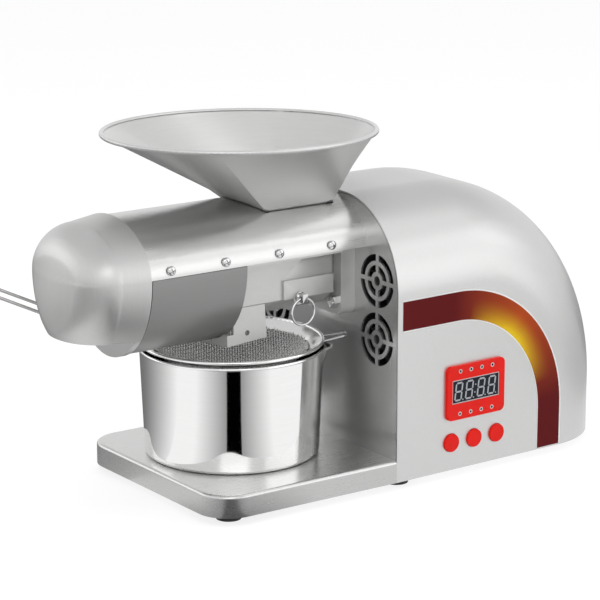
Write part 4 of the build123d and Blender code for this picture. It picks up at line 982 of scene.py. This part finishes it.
class PRESS_OT_stage(bpy.types.Operator):
    """Sets the floor, the light, the cards and the camera"""
    bl_idname = "press.stage"
    bl_label = "Studio"

    def execute(self, context):
        scene = context.scene
        studio = scene.press_studio
        self.floor()
        self.sky(scene, studio)
        self.lamps(studio)
        self.cards()
        self.camera(scene, studio)
        scene.view_settings.view_transform = "Standard"
        return {"FINISHED"}

    def sheet(self, name, wide, high, place=Matrix()):
        """Flat rectangle of the stage, with the tree and shader of its new material."""
        x, y = wide / 2, high / 2
        mesh = mesh_from(name, [(-x, -y, 0), (x, -y, 0), (x, y, 0), (-x, y, 0)], [(0, 1, 2, 3)])
        mesh.transform(place)
        sheet = placed(name, mesh)
        material, tree, shader = new_material(name)
        mesh.materials.append(material)
        return sheet, tree, shader

    def show(self, tree, share, first, second):
        """Shows a mix of two shaders."""
        mix = add_node(tree, "ShaderNodeMixShader", {"Fac": share, 1: first.outputs[0], 2: second.outputs[0]})
        plug(tree, tree.nodes["Material Output"], {"Surface": mix.outputs[0]})

    def seen(self, tree):
        """1 for what the camera sees, straight or in metal and glass."""
        rays = add_node(tree, "ShaderNodeLightPath").outputs
        mirrored = calc(tree, "MAXIMUM", rays["Is Camera Ray"], rays["Is Glossy Ray"])
        return calc(tree, "MAXIMUM", mirrored, rays["Is Transmission Ray"])

    def floor(self):
        _, tree, shader = self.sheet("floor", 8.0, 8.0)
        plug(tree, shader, {"Base Color": (0.90, 0.90, 0.90, 1), "Roughness": 0.8})
        glow = add_node(tree, "ShaderNodeEmission", {"Color": (1, 1, 1, 1), "Strength": 1.14})
        self.show(tree, calc(tree, "MULTIPLY", self.seen(tree), 0.72), shader, glow)

    def sky(self, scene, studio):
        world = bpy.data.worlds.new("studio_sky")
        world.use_nodes = True
        tree = world.node_tree
        plug(tree, tree.nodes["Background"], {
            "Color": (1, 1, 1, 1), "Strength": spread(tree, self.seen(tree), studio.sky, 1.0, 0.0, 1.0)})
        scene.world = world

    def aimed(self, name, data, place, aim):
        """Lamp or camera at a place, turned to a point."""
        item = placed(name, data)
        item.location = place
        item.rotation_mode = "QUATERNION"
        item.rotation_quaternion = (aim - place).to_track_quat("-Z", "Y")
        return item

    def lamps(self, studio):
        for name, place, size, power in (
            ("soft_front", Vector((-0.9, -1.5, 1.5)), 1.4, studio.softbox),
            ("soft_right", Vector((1.3, -1.0, 1.1)), 1.0, studio.fill),
            ("soft_top", Vector((-0.1, 0.0, 1.8)), 1.2, studio.top),
        ):
            light = bpy.data.lights.new(name, "AREA")
            light.size = size
            light.energy = power
            self.aimed(name, light, place, spot(-20, 0, 110))

    def cards(self):
        """Cards that only metal shows, each with its middle, its facing, its size and its level."""
        up, down, to_front = Vector((0, 0, 1)), Vector((0, 0, -1)), Vector((-0.53, 0.85, 0))
        for name, place, facing, wide, high, level in (
            ("table_card", (-0.10, -0.19, 0.003), up, 0.80, 0.42, self.stripe),
            ("roof_card", (0.3, 0.6, 1.3), down, 3.4, 3.6, 0.70),
            ("left_card", (-1.12, 1.18, 0.62), Vector((0.62, -0.79, 0)), 1.3, 0.6, 1.7),
            ("nose_card", (-0.605, -0.08, 0.112), up, 0.75, 0.24, 0.42),
            ("right_card", (0.85, -0.20, 0.002), up, 1.1, 0.44, 0.60),
            ("rear_card", (0, 1.02, 0.002), up, 5.0, 2.0, self.fan),
            ("front_card", (0.60, -0.95, 0.28), to_front, 1.0, 0.5, 1.7),
            ("front_fade", (0.60, -0.95, 0.66), to_front, 1.0, 0.26, 1.25),
            ("floor_card", (-0.68, 0.64, 0.004), up, 0.7, 0.5, 1.05),
            ("crown_card", (0.64, -0.34, 1.12), Vector((-0.56, 0.25, -0.79)), 0.5, 0.5, 1.4),
        ):
            turn = facing.to_track_quat("Z", "Y").to_matrix().to_4x4()
            card, tree, _ = self.sheet(name, wide, high, Matrix.Translation(place) @ turn)
            glow = add_node(tree, "ShaderNodeEmission", {"Strength": level(tree) if callable(level) else level})
            clear = add_node(tree, "ShaderNodeBsdfTransparent")
            side = add_node(tree, "ShaderNodeNewGeometry")
            self.show(tree, side.outputs["Backfacing"], glow, clear)
            card.visible_camera = False
            card.visible_diffuse = False
            card.visible_shadow = False
            card.visible_transmission = False

    def bearing(self, tree):
        """Angle round the pot."""
        low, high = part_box("pot")
        middle = (low + high) / 2
        place = add_node(tree, "ShaderNodeTexCoord").outputs["Object"]
        offset = add_node(tree, "ShaderNodeVectorMath", {0: place, 1: (middle.x, middle.y, 0)},
                          operation="SUBTRACT")
        parts = add_node(tree, "ShaderNodeSeparateXYZ", {0: offset.outputs["Vector"]}).outputs
        return calc(tree, "ARCTAN2", parts["Y"], parts["X"])

    def stripe(self, tree):
        """Black ray from the pot, with a grey fade on both its sides."""
        ray, half = radians(-121.4), radians(7.8)
        off = calc(tree, "ABSOLUTE", calc(tree, "SUBTRACT", self.bearing(tree), ray))
        fade = spread(tree, off, 0.28, 1.0, radians(5), radians(43))
        return calc(tree, "MULTIPLY", calc(tree, "GREATER_THAN", off, half), fade)

    def fan(self, tree):
        """Level that grows round the pot, from dark behind it to white on its left."""
        turn = spread(tree, self.bearing(tree), 0.0, 1.0, radians(90), radians(172))
        return spread(tree, calc(tree, "POWER", turn, 2.0), 0.18, 1.0, 0.0, 1.0)

    def camera(self, scene, studio):
        data = bpy.data.cameras.new("camera")
        data.lens = studio.lens
        data.sensor_width = 36.0
        data.clip_start = 0.05
        data.clip_end = 50.0
        place, aim = spot(-1054.7, -1468.0, 577.7), spot(-40.1, -27.4, 128.2)
        scene.camera = self.aimed("camera", data, place, aim)


STEPS = (PRESS_OT_finishes, PRESS_OT_skins, PRESS_OT_cover_screws, PRESS_OT_strainer_mesh, PRESS_OT_pot,
         PRESS_OT_band, PRESS_OT_display, PRESS_OT_stage)


class PRESS_PT_sidebar(bpy.types.Panel):
    """Lists the steps that dress the press"""
    bl_idname = "PRESS_PT_sidebar"
    bl_label = "Oil Press"
    bl_space_type = "VIEW_3D"
    bl_region_type = "UI"
    bl_category = "Oil Press"

    def draw(self, context):
        for step in STEPS:
            self.layout.operator(step.bl_idname)


SETTINGS = (("press_sizes", PressSizes), ("press_colours", PressColours), ("press_studio", StudioSizes))


def register():
    for label, group in SETTINGS:
        bpy.utils.register_class(group)
        setattr(bpy.types.Scene, label, bpy.props.PointerProperty(type=group))
    for step in (*STEPS, PRESS_PT_sidebar):
        bpy.utils.register_class(step)


def unregister():
    for step in (PRESS_PT_sidebar, *reversed(STEPS)):
        bpy.utils.unregister_class(step)
    for label, group in reversed(SETTINGS):
        delattr(bpy.types.Scene, label)
        bpy.utils.unregister_class(group)


def main():
    register()
    bpy.ops.press.finishes()
    bpy.ops.press.skins()
    bpy.ops.press.cover_screws()
    bpy.ops.press.strainer_mesh()
    bpy.ops.press.pot()
    bpy.ops.press.band()
    bpy.ops.press.display()
    bpy.ops.press.stage()


if __name__ == "__main__":
    main()
